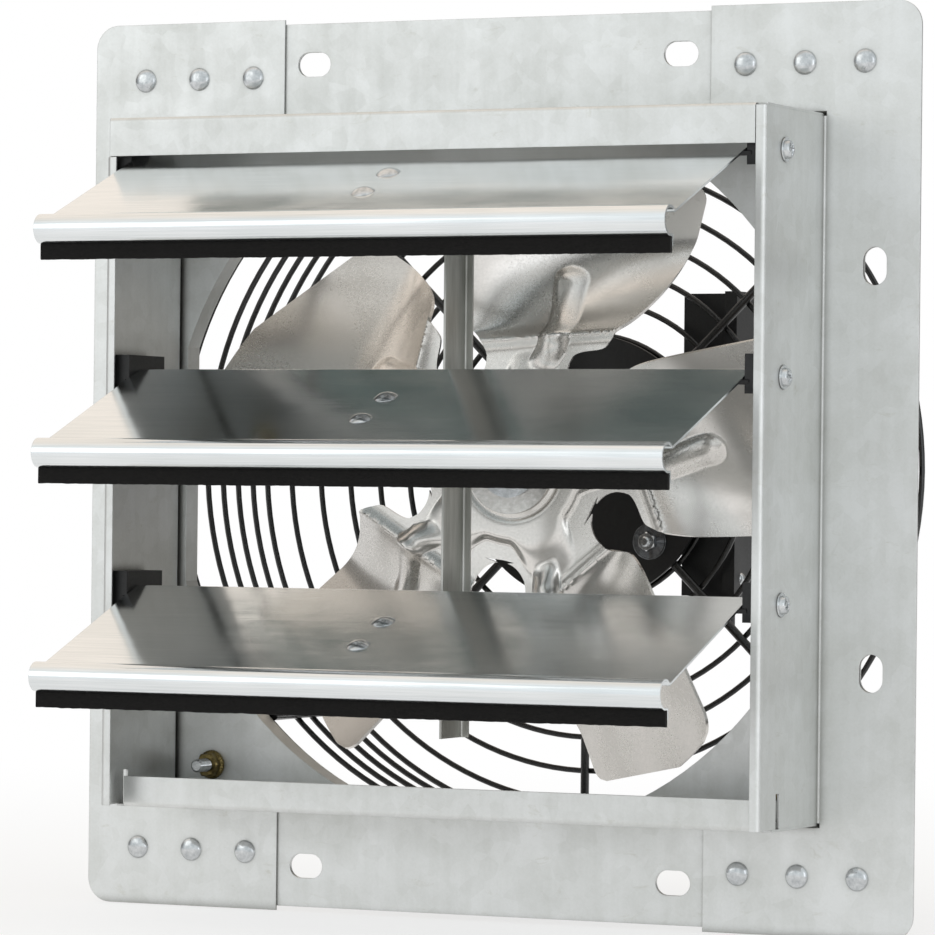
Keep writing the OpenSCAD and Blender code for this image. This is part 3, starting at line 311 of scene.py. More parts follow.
def galvanisedSheet(g):
    material, tree, shader, place = startFinish("hot_dip_galvanised_steel")
    cloud = addNode(tree, "ShaderNodeTexNoise",
                    {"Vector": place, "Scale": 1000 / g["cloudSize"], "Detail": 3.0,
                     "Roughness": 0.6})
    crystal = addNode(tree, "ShaderNodeTexVoronoi",
                      {"Vector": place, "Scale": 1000 / g["spangleSize"]})
    crystalTone = addNode(tree, "ShaderNodeSeparateColor", {"Color": crystal.outputs["Color"]})
    grain = addNode(tree, "ShaderNodeTexNoise",
                    {"Vector": place, "Scale": 1000 / g["grainSize"], "Detail": 2.0,
                     "Roughness": 0.7})
    along = addNode(tree, "ShaderNodeMapping", {"Vector": place, "Scale": g["streakStretch"]})
    streak = addNode(tree, "ShaderNodeTexNoise",
                     {"Vector": along.outputs["Vector"], "Scale": 1000 / g["streakSize"],
                      "Detail": 2.0})
    mixed = addNode(tree, "ShaderNodeMath", {0: cloud.outputs["Fac"], 1: g["cloudShare"]},
                    operation="MULTIPLY")
    for part, share in ((crystalTone.outputs[0], g["spangleShare"]),
                        (grain.outputs["Fac"], g["grainShare"]),
                        (streak.outputs["Fac"], g["streakShare"])):
        mixed = addNode(tree, "ShaderNodeMath", {0: part, 1: share, 2: mixed.outputs[0]},
                        operation="MULTIPLY_ADD")
    tone = addNode(tree, "ShaderNodeValToRGB", {"Fac": mixed.outputs[0]},
                   zip(g["toneEnds"], (g["dark"], g["light"])))
    # scuffs from handling: short, faint, warmer and duller than the zinc
    across = addNode(tree, "ShaderNodeMapping", {"Vector": place, "Scale": g["scuffStretch"]})
    scuff = addNode(tree, "ShaderNodeTexNoise",
                    {"Vector": across.outputs["Vector"], "Scale": 1000 / g["scuffSize"],
                     "Detail": 8.0, "Roughness": 0.72, "Distortion": 0.6})
    scuffed = addNode(tree, "ShaderNodeMapRange",
                      {"Value": scuff.outputs["Fac"], "From Min": g["scuffEnds"][0],
                       "From Max": g["scuffEnds"][1], "To Max": g["scuffMost"]})
    colour = addNode(tree, "ShaderNodeMix",
                     {0: scuffed.outputs["Result"], 6: tone.outputs["Color"],
                      7: linearColour(g["stain"])}, data_type="RGBA")
    # painted shade: ambient occlusion darkens seams and inner corners towards a dark grey
    hidden = addNode(tree, "ShaderNodeAmbientOcclusion", {"Distance": g["seamShadeReach"] * mm},
                     samples=6)
    seamShade = addNode(tree, "ShaderNodeMapRange",
                   {"Value": hidden.outputs["AO"], "From Min": g["seamShadeEnds"][0],
                    "From Max": g["seamShadeEnds"][1], "To Min": g["seamShadeMost"], "To Max": 0.0})
    seamShaded = addNode(tree, "ShaderNodeMix",
                     {0: seamShade.outputs["Result"], 6: colour.outputs[2],
                      7: linearColour(g["seamShade"])}, data_type="RGBA")
    tree.links.new(seamShaded.outputs[2], shader.inputs["Base Color"])
    shadeBy(tree, shader, mixed.outputs[0], g["roughHigh"], g["roughLow"])
    setLook(shader, metallic=1.0)
    wave = addNode(tree, "ShaderNodeTexNoise",
                   {"Vector": place, "Scale": 1000 / g["waveSize"], "Detail": 1.0})
    raiseBy(tree, shader,
            ((wave.outputs["Fac"], *g["wave"]), (grain.outputs["Fac"], *g["tooth"])), g["edge"])
    return material


# Mill-finish aluminium sheet, bright rolled: a soft mirror with lines along the roll
millFinish = {
    "light": "#ECEEEF",
    "dark": "#D9DDDE",
    "toneEnds": (0.36, 0.66),
    "lineWidth": 0.9,  # mm; real roll lines are finer, drawn coarser to show
    "lineStretch": (0.02, 1, 1),
    "lineShare": 0.45,
    "driftSize": 60.0,  # mm
    "driftStretch": (0.6, 1, 1),
    "driftShare": 0.55,
    "roughLow": 0.11,
    "roughHigh": 0.20,
    "swell": (1.1, 0.30),  # depth in mm, strength
    "rolled": (0.03, 0.35),
    "edge": 0.3,  # mm
}


def brightLouvreSheet(g):
    material, tree, shader, place = startFinish("mill_finish_aluminium")
    along = addNode(tree, "ShaderNodeMapping", {"Vector": place, "Scale": g["lineStretch"]})
    line = addNode(tree, "ShaderNodeTexNoise",
                   {"Vector": along.outputs["Vector"], "Scale": 1000 / g["lineWidth"],
                    "Detail": 2.0, "Roughness": 0.6})
    across = addNode(tree, "ShaderNodeMapping", {"Vector": place, "Scale": g["driftStretch"]})
    drift = addNode(tree, "ShaderNodeTexNoise",
                    {"Vector": across.outputs["Vector"], "Scale": 1000 / g["driftSize"],
                     "Detail": 3.0, "Roughness": 0.55})
    lines = addNode(tree, "ShaderNodeMath", {0: line.outputs["Fac"], 1: g["lineShare"]},
                    operation="MULTIPLY")
    mixed = addNode(tree, "ShaderNodeMath",
                    {0: drift.outputs["Fac"], 1: g["driftShare"], 2: lines.outputs[0]},
                    operation="MULTIPLY_ADD")
    tone = addNode(tree, "ShaderNodeValToRGB", {"Fac": mixed.outputs[0]},
                   zip(g["toneEnds"], (g["dark"], g["light"])))
    tree.links.new(tone.outputs["Color"], shader.inputs["Base Color"])
    shadeBy(tree, shader, drift.outputs["Fac"], g["roughLow"], g["roughHigh"])
    setLook(shader, metallic=1.0)
    raiseBy(tree, shader,
            ((drift.outputs["Fac"], *g["swell"]), (line.outputs["Fac"], *g["rolled"])), g["edge"])
    return material


# Pressed aluminium sheet: satin, a little warm, with the fine grain that the press leaves
pressed = {
    "light": "#E6E3DF",
    "dark": "#D3D0CB",
    "toneEnds": (0.35, 0.65),
    "grainSize": 1.1,  # mm; drawn coarser than the real one to show
    "grainShare": 0.4,
    "driftSize": 42.0,  # mm
    "driftShare": 0.6,
    "roughLow": 0.20,
    "roughHigh": 0.32,
    "swell": (0.8, 0.35),  # depth in mm, strength
    "tooth": (0.02, 0.3),
}


def pressedBladeSheet(g):
    material, tree, shader, place = startFinish("pressed_aluminium")
    grain = addNode(tree, "ShaderNodeTexNoise",
                    {"Vector": place, "Scale": 1000 / g["grainSize"], "Detail": 3.0,
                     "Roughness": 0.7})
    drift = addNode(tree, "ShaderNodeTexNoise",
                    {"Vector": place, "Scale": 1000 / g["driftSize"], "Detail": 1.5,
                     "Roughness": 0.5})
    grains = addNode(tree, "ShaderNodeMath", {0: grain.outputs["Fac"], 1: g["grainShare"]},
                     operation="MULTIPLY")
    mixed = addNode(tree, "ShaderNodeMath",
                    {0: drift.outputs["Fac"], 1: g["driftShare"], 2: grains.outputs[0]},
                    operation="MULTIPLY_ADD")
    tone = addNode(tree, "ShaderNodeValToRGB", {"Fac": mixed.outputs[0]},
                   zip(g["toneEnds"], (g["dark"], g["light"])))
    tree.links.new(tone.outputs["Color"], shader.inputs["Base Color"])
    shadeBy(tree, shader, mixed.outputs[0], g["roughHigh"], g["roughLow"])
    setLook(shader, metallic=1.0)
    raiseBy(tree, shader,
            ((drift.outputs["Fac"], *g["swell"]), (grain.outputs["Fac"], *g["tooth"])))
    return material


def plainMetal(name, light, dark, rough, grainSize, spread=0.06, stretch=(1, 1, 1)):
    # plated, ground or cast metal: one tone that drifts a little, with its own grain in mm
    material, tree, shader, place = startFinish(name)
    along = addNode(tree, "ShaderNodeMapping", {"Vector": place, "Scale": stretch})
    grain = addNode(tree, "ShaderNodeTexNoise",
                    {"Vector": along.outputs["Vector"], "Scale": 1000 / grainSize,
                     "Detail": 4.0, "Roughness": 0.65})
    tone = addNode(tree, "ShaderNodeValToRGB", {"Fac": grain.outputs["Fac"]},
                   ((0.34, dark), (0.66, light)))
    tree.links.new(tone.outputs["Color"], shader.inputs["Base Color"])
    shadeBy(tree, shader, grain.outputs["Fac"], rough + spread, rough - spread)
    setLook(shader, metallic=1.0)
    raiseBy(tree, shader, ((grain.outputs["Fac"], 0.08, 0.4),), 0.3)
    return material


def plainCoat(name, light, dark, rough, grainSize, bump, **look):
    # paint, plastic or rubber: a skin with its own texture, its grain and bump in mm
    spread = 0.05
    material, tree, shader, place = startFinish(name)
    grain = addNode(tree, "ShaderNodeTexNoise",
                    {"Vector": place, "Scale": 1000 / grainSize, "Detail": 3.0, "Roughness": 0.6})
    drift = addNode(tree, "ShaderNodeTexNoise",
                    {"Vector": place, "Scale": 1000 / 22.22, "Detail": 3.0})
    mixed = addNode(tree, "ShaderNodeMath", {0: grain.outputs["Fac"], 1: drift.outputs["Fac"]},
                    operation="ADD")
    tone = addNode(tree, "ShaderNodeMapRange",
                   {"Value": mixed.outputs[0], "From Min": 0.75, "From Max": 1.25})
    colour = addNode(tree, "ShaderNodeValToRGB", {"Fac": tone.outputs["Result"]},
                     ((0.0, dark), (1.0, light)))
    tree.links.new(colour.outputs["Color"], shader.inputs["Base Color"])
    shadeBy(tree, shader, tone.outputs["Result"], rough + spread, rough - spread, (0.0, 1.0))
    setLook(shader, **look)
    raiseBy(tree, shader, ((grain.outputs["Fac"], bump, 0.6),), 0.4)
    return material


def woolFelt():
    # needled wool felt: dull black, fibres that catch a little light at grazing angles
    material, tree, shader, place = startFinish("wool_felt")
    along = addNode(tree, "ShaderNodeMapping", {"Vector": place, "Scale": (0.5, 1, 1.6)})
    fibre = addNode(tree, "ShaderNodeTexNoise",  # 0.909 mm, coarser than real fibres, to show
                    {"Vector": along.outputs["Vector"], "Scale": 1000 / 0.909, "Detail": 6.0,
                     "Roughness": 0.8, "Distortion": 1.2})
    colour = addNode(tree, "ShaderNodeValToRGB", {"Fac": fibre.outputs["Fac"]},
                     ((0.35, "#080808"), (0.75, "#211F1E")))
    tree.links.new(colour.outputs["Color"], shader.inputs["Base Color"])
    setLook(shader, rough=0.95, sheen=0.05, sheenRough=0.5, specular=0.2)
    raiseBy(tree, shader, ((fibre.outputs["Fac"], 0.4, 0.8),))
    return material


def woundCopper():
    # enamelled copper wire, wound: close turns round the core, 0.8 mm apart
    material, tree, shader, place = startFinish("enamelled_copper_wire")
    turns = addNode(tree, "ShaderNodeTexWave",
                    {"Vector": place, "Scale": 1000 / 0.8 / (2 * pi), "Distortion": 1.5},
                    wave_type="RINGS", rings_direction="Y")
    # painted shade: the ramp puts the dark tone in the grooves between turns, where the bump sinks,
    # and the light tone on their crests
    colour = addNode(tree, "ShaderNodeValToRGB", {"Fac": turns.outputs["Fac"]},
                     ((0.0, "#7A3A1E"), (1.0, "#C9784A")))
    tree.links.new(colour.outputs["Color"], shader.inputs["Base Color"])
    setLook(shader, metallic=1.0, rough=0.32)
    raiseBy(tree, shader, ((turns.outputs["Fac"], 0.4, 1.0),))
    return material


finish = {
    "galvanised": galvanisedSheet(galvanised),
    "louvre": brightLouvreSheet(millFinish),
    "blade": pressedBladeSheet(pressed),
    "felt": woolFelt(),
    "copper": woundCopper(),
    # bright zinc plate on steel: clean highlights, a faint blue
    "zinc": plainMetal("bright_zinc_plate", "#D2D4D5", "#B4B7B9", 0.19, 3.0),
    # yellow chromate on zinc: bronze brown with dull patches
    "yellowZinc": plainMetal("yellow_chromate_zinc", "#A39160", "#5F5434", 0.34, 2.2, 0.08),
    # plain zinc plate over cold-rolled strip: greyer than the flange
    "strip": plainMetal("zinc_plated_strip", "#BDBDB9", "#9C9C96", 0.36, 9.0, 0.07, (1, 1, 0.12)),
    # turned steel: fine cut marks
    "turned": plainMetal("turned_steel", "#D3D1CD", "#C3C1BD", 0.22, 2.5),
    # blued spring steel washer: dark and glossy
    "washer": plainMetal("blued_steel", "#85878A", "#66686B", 0.14, 2.5, 0.04),
    # stacked laminations: fine dark lines round the core
    "core": plainMetal("laminated_core_steel", "#6B6D71", "#45474A", 0.45, 1.2, 0.06,
                       (0.1, 4, 0.1)),
    # deep-drawn aluminium: even and softly bright
    "can": plainMetal("drawn_aluminium_can", "#A9AAAC", "#8B8C8F", 0.33, 3.0),
    # black stove enamel on wire: glossy, slightly uneven where it ran
    "wire": plainCoat("black_stove_enamel", "#161616", "#090909", 0.24, 4.0, 0.05,
                      coat=0.3, coatRough=0.1),
    # satin black paint on the die-cast motor: fine orange peel
    "motorPaint": plainCoat("satin_black_paint", "#1E1E1F", "#121213", 0.42, 1.6, 0.05),
    # moulded black nylon: matt, with a spark-eroded grain
    "nylon": plainCoat("moulded_black_nylon", "#161616", "#0B0B0C", 0.50, 0.9, 0.05),
    # moulded ABS box: a shade lighter and smoother
    "abs": plainCoat("moulded_abs", "#232425", "#161718", 0.40, 0.9, 0.04),
    # moulded melamine: cream, smooth and slightly shiny
    "cream": plainCoat("moulded_melamine", "#DAD4C2", "#C9C2AE", 0.35, 1.2, 0.03),
    # PVC insulation on the leads: black and soft
    "lead": plainCoat("pvc_lead", "#1C1A1A", "#0E0D0D", 0.45, 1.0, 0.03),
}

nodeFinish = {
    "galvanised": ("left_side_panel", "right_side_panel", "top_panel", "bottom_panel",
                   "orifice_panel"),
    "louvre": ("top_louvre", "middle_louvre", "bottom_louvre"),
    "nylon": ("top_end_brackets", "middle_end_brackets", "bottom_end_brackets"),
    "strip": ("tie_bar", "top_link_bracket", "middle_link_bracket", "bottom_link_bracket"),
    "zinc": ("flange_rivets", "pivot_screws", "pivot_washers", "tie_pins", "top_link_rivets",
             "middle_link_rivets", "bottom_link_rivets", "hub_washer", "hub_nut", "motor_bolts",
             "motor_nuts", "cover_screws"),
    "blade": ("fan_blades",),
    "turned": ("fan_hub", "motor_shaft", "front_bearing", "rear_bearing"),
    "core": ("rotor_core", "stator_core"),
    "copper": ("stator_windings",),
    "wire": ("guard_mounting_ring", "guard_side_rings", "guard_rear_rings", "guard_spokes",
             "guard_feet"),
    "yellowZinc": ("guard_studs", "guard_nuts"),
    "motorPaint": ("motor_plate", "motor_front_cap", "motor_shell", "motor_rear_cap",
                   "junction_box_saddle"),
    "washer": ("motor_washers",),
    "abs": ("junction_box", "junction_box_cover", "cable_gland"),
    "felt": ("top_felt_strip", "middle_felt_strip", "bottom_felt_strip"),
    "cream": ("terminal_block",),
    "can": ("run_capacitor",),
    "lead": ("motor_leads",),
}
for kind, names in nodeFinish.items():
    for name in names:
        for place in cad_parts[name].material_slots:
            place.material = finish[kind]
print("finishes: every packed node has its own")


# from here on, shapes are made in mm

def joinRings(rings, steps, first=0, closed=False):
    # four-sided faces between neighbouring rings of points
    faces = []
    for i in range(rings if closed else rings - 1):
        near, far = first + i * steps, first + (i + 1) % rings * steps
        for k in range(steps):
            n = (k + 1) % steps
            faces.append((near + k, near + n, far + n, far + k))
    return faces


def turnShape(profile, steps=48, ripple=None):
    # turns (radius, height) pairs round Z; ripple is (first row, last row, count, depth)
    corners = []
    for row, (radius, height) in enumerate(profile):
        for k in range(steps):
            angle = 2 * pi * k / steps
            out = radius
            if ripple and ripple[0] <= row <= ripple[1]:
                out -= ripple[3] * (0.5 - 0.5 * cos(ripple[2] * angle))
            corners.append(Vector((out * cos(angle), out * sin(angle), height)))
    return corners, joinRings(len(profile), steps)


def facing(point, axis):
    # puts a shape that was made round Z on a point, looking along axis
    return Matrix.Translation(point) @ Vector(axis).to_track_quat("Z", "Y").to_matrix().to_4x4()


def gather(shapes):
    # one list of corners and faces from [(shape, matrix), ...]
    corners, faces = [], []
    for (points, loops), matrix in shapes:
        first = len(corners)
        corners += [matrix @ p for p in points]
        faces += [tuple(first + i for i in loop) for loop in loops]
    return corners, faces


def makePiece(name, shape, look, body, stands, sharp, merge=0.002, sheet=0.0):
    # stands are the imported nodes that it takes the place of; sharp is the angle in degrees from
    # which an edge shows; merge and sheet are in mm
    mesh = bpy.data.meshes.new(name)
    mesh.from_pydata([Vector(p) * mm for p in shape[0]], [], shape[1])
    work = bmesh.new()
    work.from_mesh(mesh)
    bmesh.ops.remove_doubles(work, verts=work.verts, dist=merge * mm)
    bmesh.ops.dissolve_degenerate(work, dist=merge * mm, edges=work.edges)
    bmesh.ops.recalc_face_normals(work, faces=work.faces)
    if sheet:
        # one skin becomes a sheet with that skin as its middle
        work.normal_update()
        shift = [v.normal * sheet * mm / 2 for v in work.verts]
        for v, move in zip(work.verts, shift):
            v.co += move
        bmesh.ops.solidify(work, geom=work.faces[:], thickness=sheet * mm)
        bmesh.ops.recalc_face_normals(work, faces=work.faces)
    for face in work.faces:
        face.smooth = True
    for edge in work.edges:
        if len(edge.link_faces) == 2 and edge.calc_face_angle(0) > radians(sharp):
            edge.smooth = False
    work.to_mesh(mesh)
    work.free()
    mesh.materials.append(look)
    piece = bpy.data.objects.new(name, mesh)
    bpy.context.scene.collection.objects.link(piece)
    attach(piece, body)
    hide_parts(*stands)


# The fan wheel is one stamping: hub plate, notches, folded blades, ribs. Lengths are in mm, and
# angles in degrees from each blade's middle line
wheel = {
    "blades": 5,
    "firstBlade": 4.0,
    "sheet": 1.4,
    "plateDepth": 24.0,  # mid plane of the hub plate behind the flange's rear face
    "plateRadius": 43.0,
    "tipRadius": 152.5,
    "pitch": 37.4,
    "lean": 29.0,
    "sectorStart": -29.0,  # the middle of the notch behind the blade
    "notchRadius": 13.0,
    "notchPlace": 56.0,
    "throatLength": 14.0,
    "trailThroat": 3.6,
    "leadThroat": 8.0,
    "trailSide": 36.5,  # the trailing edge is a straight cut, this far from the middle line
    "leadSide": 42.0,
    "leadFlare": 0.11,
    "flareStart": 74.0,
    "sideStart": 58.0,  # where the straight sides take over from the notch
    "sideFade": 8.0,
    "trailSoft": 1.2,
    "leadSoft": 1.6,
    "leastSoft": 0.02,
    "tipPlace": 147.0,
    "tipSkew": 0.2,
    "tipEdges": (143.0, 151.0),  # radii of the tip's trailing and leading corner
    "trailCorner": 6.0,
    "leadCorner": 9.0,
    "foldPlace": 60.5,
    "foldSkew": 0.32,
    "twistLength": 46.0,
    "twistEase": 1.7,
    "creaseHeight": 1.9,  # the fold stands up as a bright bead
    "creaseWidth": 3.0,
    "creaseStart": 48.0,
    "creaseFade": 6.0,
    "ribHeight": 5.6,
    "ribHalfWidth": 6.6,
    "ribStart": 44.0,
    "ribEnd": 92.0,
    "ribRise": 3.5,
    "ribRound": 0.8,
    "ribBend": 5.0,  # the rib swings aside, then back past its line
    "bendStart": 40.0,
    "bendLength": 20.0,
    "backShare": 1.6,
    "backStart": 62.0,
    "backLength": 26.0,
    "stepRadius": 33.0,  # the pressed step round the hub
    "stepHeight": 2.5,
    "stepWidth": 3.0,
    "armMiddle": 2.0,  # where an arm leaves the hub, the step moves out and fades
    "armHalf": 19.0,
    "armOut": 4.0,
    "armFade": 16.0,
    "grooveRadius": 22.8,
    "grooveWidth": 1.5,
    "grooveDepth": 1.1,
    "hiddenRadius": 19.0,  # the hub flange hides the middle
    "plateRows": 24,
    "bladeRows": 88,
    "rowEase": 1.3,  # above 1, the rows stand closer near the notch
    "columns": 84,
    "fanStart": 50.0,
    "fanLength": 14.0,
}


def smoothStep(x):
    x = max(0.0, min(1.0, x))
    return x * x * (3 - 2 * x)


def softMin(a, b, soft):
    low, high = min(a, b), max(a, b)
    return low - soft * log(1 + exp((low - high) / soft))


def notchOpening(w, r, rest):
    # half the notch, in degrees: a round inner end, then a throat that narrows to rest
    d, q = w["notchPlace"], w["notchRadius"]
    if r <= d - q:
        return 0.0
    widest = degrees(asin(q / d))
    if r >= d:
        return widest + (rest - widest) * smoothStep((r - d) / w["throatLength"])
    return degrees(acos(min(1.0, (r * r + d * d - q * q) / (2 * r * d))))


def bladeEdges(w, trailR, leadR):
    # where the sheet ends on each side, in degrees from the blade's middle line
    low, high = w["sectorStart"], w["sectorStart"] + 360 / w["blades"]
    if leadR <= w["plateRadius"]:
        return low, high

    def cutTurn(side, r):
        # a side's distance from the middle line as an angle; close in, it is held below 90
        return degrees(asin(side / max(r, side * 1.1)))

    trail = cutTurn(w["trailSide"], trailR)
    lead = cutTurn(w["leadSide"] + w["leadFlare"] * (leadR - w["flareStart"]), leadR)
    low += notchOpening(w, trailR, w["trailThroat"])
    high -= notchOpening(w, leadR, w["leadThroat"])
    start, fade, least = w["sideStart"], w["sideFade"], w["leastSoft"]
    if trailR > start:
        low = -softMin(-low, trail, w["trailSoft"] * smoothStep((trailR - start) / fade) + least)
        high = softMin(high, lead, w["leadSoft"] * smoothStep((leadR - start) / fade) + least)
    return low, high


def tipRadius(w, turn):
    angle = radians(turn)
    return min(w["tipRadius"], w["tipPlace"] / (cos(angle) - w["tipSkew"] * sin(angle)))


def wheelDepth(w, r, turn):
    # how deep the sheet lies at a radius and an angle from the blade's middle line
    angle = radians(turn)
    forward, side = r * cos(angle), r * sin(angle)
    past = forward + w["foldSkew"] * side - w["foldPlace"]
    twist = 1 - (1 - max(0.0, min(1.0, past / w["twistLength"]))) ** w["twistEase"]
    depth = w["plateDepth"] + twist * (w["lean"] - tan(radians(w["pitch"])) * side)
    if r > w["creaseStart"]:
        rise = smoothStep((r - w["creaseStart"]) / w["creaseFade"])
        depth -= w["creaseHeight"] * rise * exp(-(past / w["creaseWidth"]) ** 2)
    arm = exp(-((turn - w["armMiddle"]) / w["armHalf"]) ** 4)
    beyond = r - w["stepRadius"] - w["armOut"] * arm + w["stepWidth"] / 2
    step = 1 - smoothStep(beyond / (w["stepWidth"] + w["armFade"] * arm))
    depth -= w["stepHeight"] * step
    ring = (r - w["grooveRadius"]) / w["grooveWidth"]
    depth += w["grooveDepth"] * exp(-ring * ring)  # shallow groove round the hub flange
    # the rib is a long pressed drop with a round outer end
    start = (forward - w["ribStart"]) / (w["ribEnd"] - w["ribStart"])
    if start > 0:
        over = max(0.0, forward - w["ribEnd"] + w["ribHalfWidth"])
        swing = smoothStep((forward - w["bendStart"]) / w["bendLength"])
        back = w["backShare"] * smoothStep((forward - w["backStart"]) / w["backLength"])
        bend = w["ribBend"] * (swing - back)
        away = sqrt((side + bend) ** 2 + over * over) / w["ribHalfWidth"]
        crown = max(0.0, 1 - away * away) ** w["ribRound"]
        depth -= w["ribHeight"] * smoothStep(start * w["ribRise"]) * crown
    return depth


def fanWheel(w):
    corners, faces = [], []
    plate, hidden, columns = w["plateRadius"], w["hiddenRadius"], w["columns"]
    # each row is (radius, None) on the hub plate, or (plate, share of the way to the tip)
    rows = [(hidden + (plate - hidden) * i / w["plateRows"], None) for i in range(w["plateRows"])]
    rows += [(plate, (i / w["bladeRows"]) ** w["rowEase"]) for i in range(w["bladeRows"] + 1)]
    tipLow, tipHigh = bladeEdges(w, *w["tipEdges"])
    for b in range(w["blades"]):
        first = len(corners)
        for r0, share in rows:
            if share is None:
                trailR = leadR = r0
                low, high = bladeEdges(w, r0, r0)
            else:
                trailR = plate + share * (tipRadius(w, tipLow) - plate)
                leadR = plate + share * (tipRadius(w, tipHigh) - plate)
                low, high = bladeEdges(w, trailR, leadR)
                # small round corners at the tip
                cuts = []
                for sideR, corner in ((trailR, w["trailCorner"]), (leadR, w["leadCorner"])):
                    left = (1 - share) * (sideR - plate) / max(share, 0.01)
                    inset = max(0.0, corner - left)
                    cuts.append(degrees((corner - sqrt(corner ** 2 - inset ** 2)) / sideR))
                low, high = low + cuts[0], high - cuts[1]
            for c in range(columns + 1):
                # near the notch the columns stand still and end at its edge; further out they
                # fan over the blade's whole width
                still = min(max(w["sectorStart"] + c / columns * 360 / w["blades"], low), high)
                fanned = low + (high - low) * c / columns
                spread = smoothStep(((trailR + leadR) / 2 - w["fanStart"]) / w["fanLength"])
                turn = still + (fanned - still) * spread
                r = r0 if share is None else plate + share * (
                    tipRadius(w, min(max(turn, tipLow), tipHigh)) - plate)
                angle = radians(turn + w["firstBlade"] + b * 360 / w["blades"])
                corners.append(Vector((r * cos(angle), wheelDepth(w, r, turn), r * sin(angle))))
        for i in range(len(rows) - 1):
            for c in range(columns):
                a = first + i * (columns + 1) + c
                faces.append((a, a + 1, a + columns + 2, a + columns + 1))
    makePiece("pressed_fan_wheel", (corners, faces), finish["blade"], "rotor",
              ("fan_blades",), 50, 0.12, w["sheet"])


fanWheel(wheel)
print("fan wheel: pressed sheet with ribs and hub step")


strip = {  # mm
    "thick": 2.0,
    "tall": 6.8,
    "corner": 0.5,
    "step": 1.2,  # from one ring of points to the next
    "fray": 0.22,
    "frayDepth": 0.3,  # share of it that also shows front to back
}


def feltStrip(level, s):
    low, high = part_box(level + "_felt_strip")
    x0, x1 = low[0] / mm, high[0] / mm
    midY, midZ = (low[1] + high[1]) / 2 / mm, (low[2] + high[2]) / 2 / mm
    outline = []  # the strip's cross section, its corners worn round
    r = s["corner"]
    for cornerY, cornerZ, start in ((1, 1, 0), (-1, 1, 90), (-1, -1, 180), (1, -1, 270)):
        for k in range(4):
            angle = radians(start + 30 * k)
            outline.append((cornerY * (s["thick"] / 2 - r) + r * cos(angle),
                            cornerZ * (s["tall"] / 2 - r) + r * sin(angle)))
    count, n = int((x1 - x0) / s["step"]), len(outline)
    corners = []
    for i in range(count + 1):
        x = x0 + (x1 - x0) * i / count
        for y, z in outline:
            # a short wander along the fibres and a long one along the strip
            wander = noise.noise(Vector((x * 0.35, y * 2, z * 0.8 + 7 * midZ)))
            coarse = noise.noise(Vector((x * 0.04, 3.0, midZ)))
            fray = s["fray"] * (wander + coarse)
            corners.append(Vector((x, midY + y + s["frayDepth"] * fray,
                                   midZ + z + (fray if z < 0 else 0))))
    faces = joinRings(count + 1, n)
    faces.append(tuple(range(n)))
    faces.append(tuple(count * n + k for k in range(n)))
    makePiece(level + "_felt", (corners, faces), finish["felt"], "louvre_" + level,
              (level + "_felt_strip",), 60)


for level in ("top", "middle", "bottom"):
    feltStrip(level, strip)
print("felt: three strips")


hexEdge = {
    "steps": 72,
    "footBevel": 0.35,  # mm
    "topBevel": 0.55,
    "footShare": 0.97,  # of the distance from the middle to a flat
    "topShare": 0.96,
    "clear": 1.02,  # of the corner's radius: nothing is cut there
}


def hexShape(cornerRadius, height, bore=0.0):
    # a chamfered hexagon nut round Z, from 0 to height
    e = hexEdge
    flat, wide = cornerRadius * cos(pi / 6), cornerRadius * e["clear"]
    corners = []
    rows = ((flat * e["footShare"], 0.0), (wide, e["footBevel"]),
            (wide, height - e["topBevel"]), (flat * e["topShare"], height))
    for out, z in rows:
        for k in range(e["steps"]):
            angle = 2 * pi * k / e["steps"]
            toFlat = (angle + pi / 6) % (pi / 3) - pi / 6
            r = min(flat / cos(toFlat), out)
            corners.append(Vector((r * cos(angle), r * sin(angle), z)))
    for z in (height, 0.0):
        for k in range(e["steps"]):
            angle = 2 * pi * k / e["steps"]
            corners.append(Vector((bore * cos(angle), bore * sin(angle), z)))
    return corners, joinRings(len(rows) + 2, e["steps"], closed=True)


thread = {"point": 0.8, "crest": 0.15, "root": 0.55, "nextCrest": 0.95, "depth": 0.5}


def threadProfile(radius, start, end, pitch):
    # crests and roots as shares of the pitch, and a chamfered point in mm
    t = thread
    rows = [(0.0, start), (radius, start)]
    z = start
    while z + pitch < end - t["point"]:
        rows += [(radius, z + pitch * t["crest"]),
                 (radius - t["depth"] * pitch, z + pitch * t["root"]),
                 (radius, z + pitch * t["nextCrest"])]
        z += pitch
    return rows + [(radius, end - t["point"]), (radius - t["point"], end), (0.0, end)]


guardFixing = {  # mm
    "x": 138.5,
    "z": 136.5,
    "face": -1.0,
    "threadRadius": 3.0,
    "pitch": 1.0,
    "sunk": -2.0,  # how deep in the sheet the thread starts
    "tip": -16.0,
    "nutTop": -6.5,
    "flange": 6.6,
    "flangeEdge": 1.0,
    "flangeTop": (5.4, 1.9),
    "hexFoot": 1.7,
    "serration": (1, 2, 32, 0.45),  # first row, last row, count, depth
    "hex": 5.75,
    "bore": 3.05,
    "headHex": 5.77,
    "headHeight": 3.5,
}


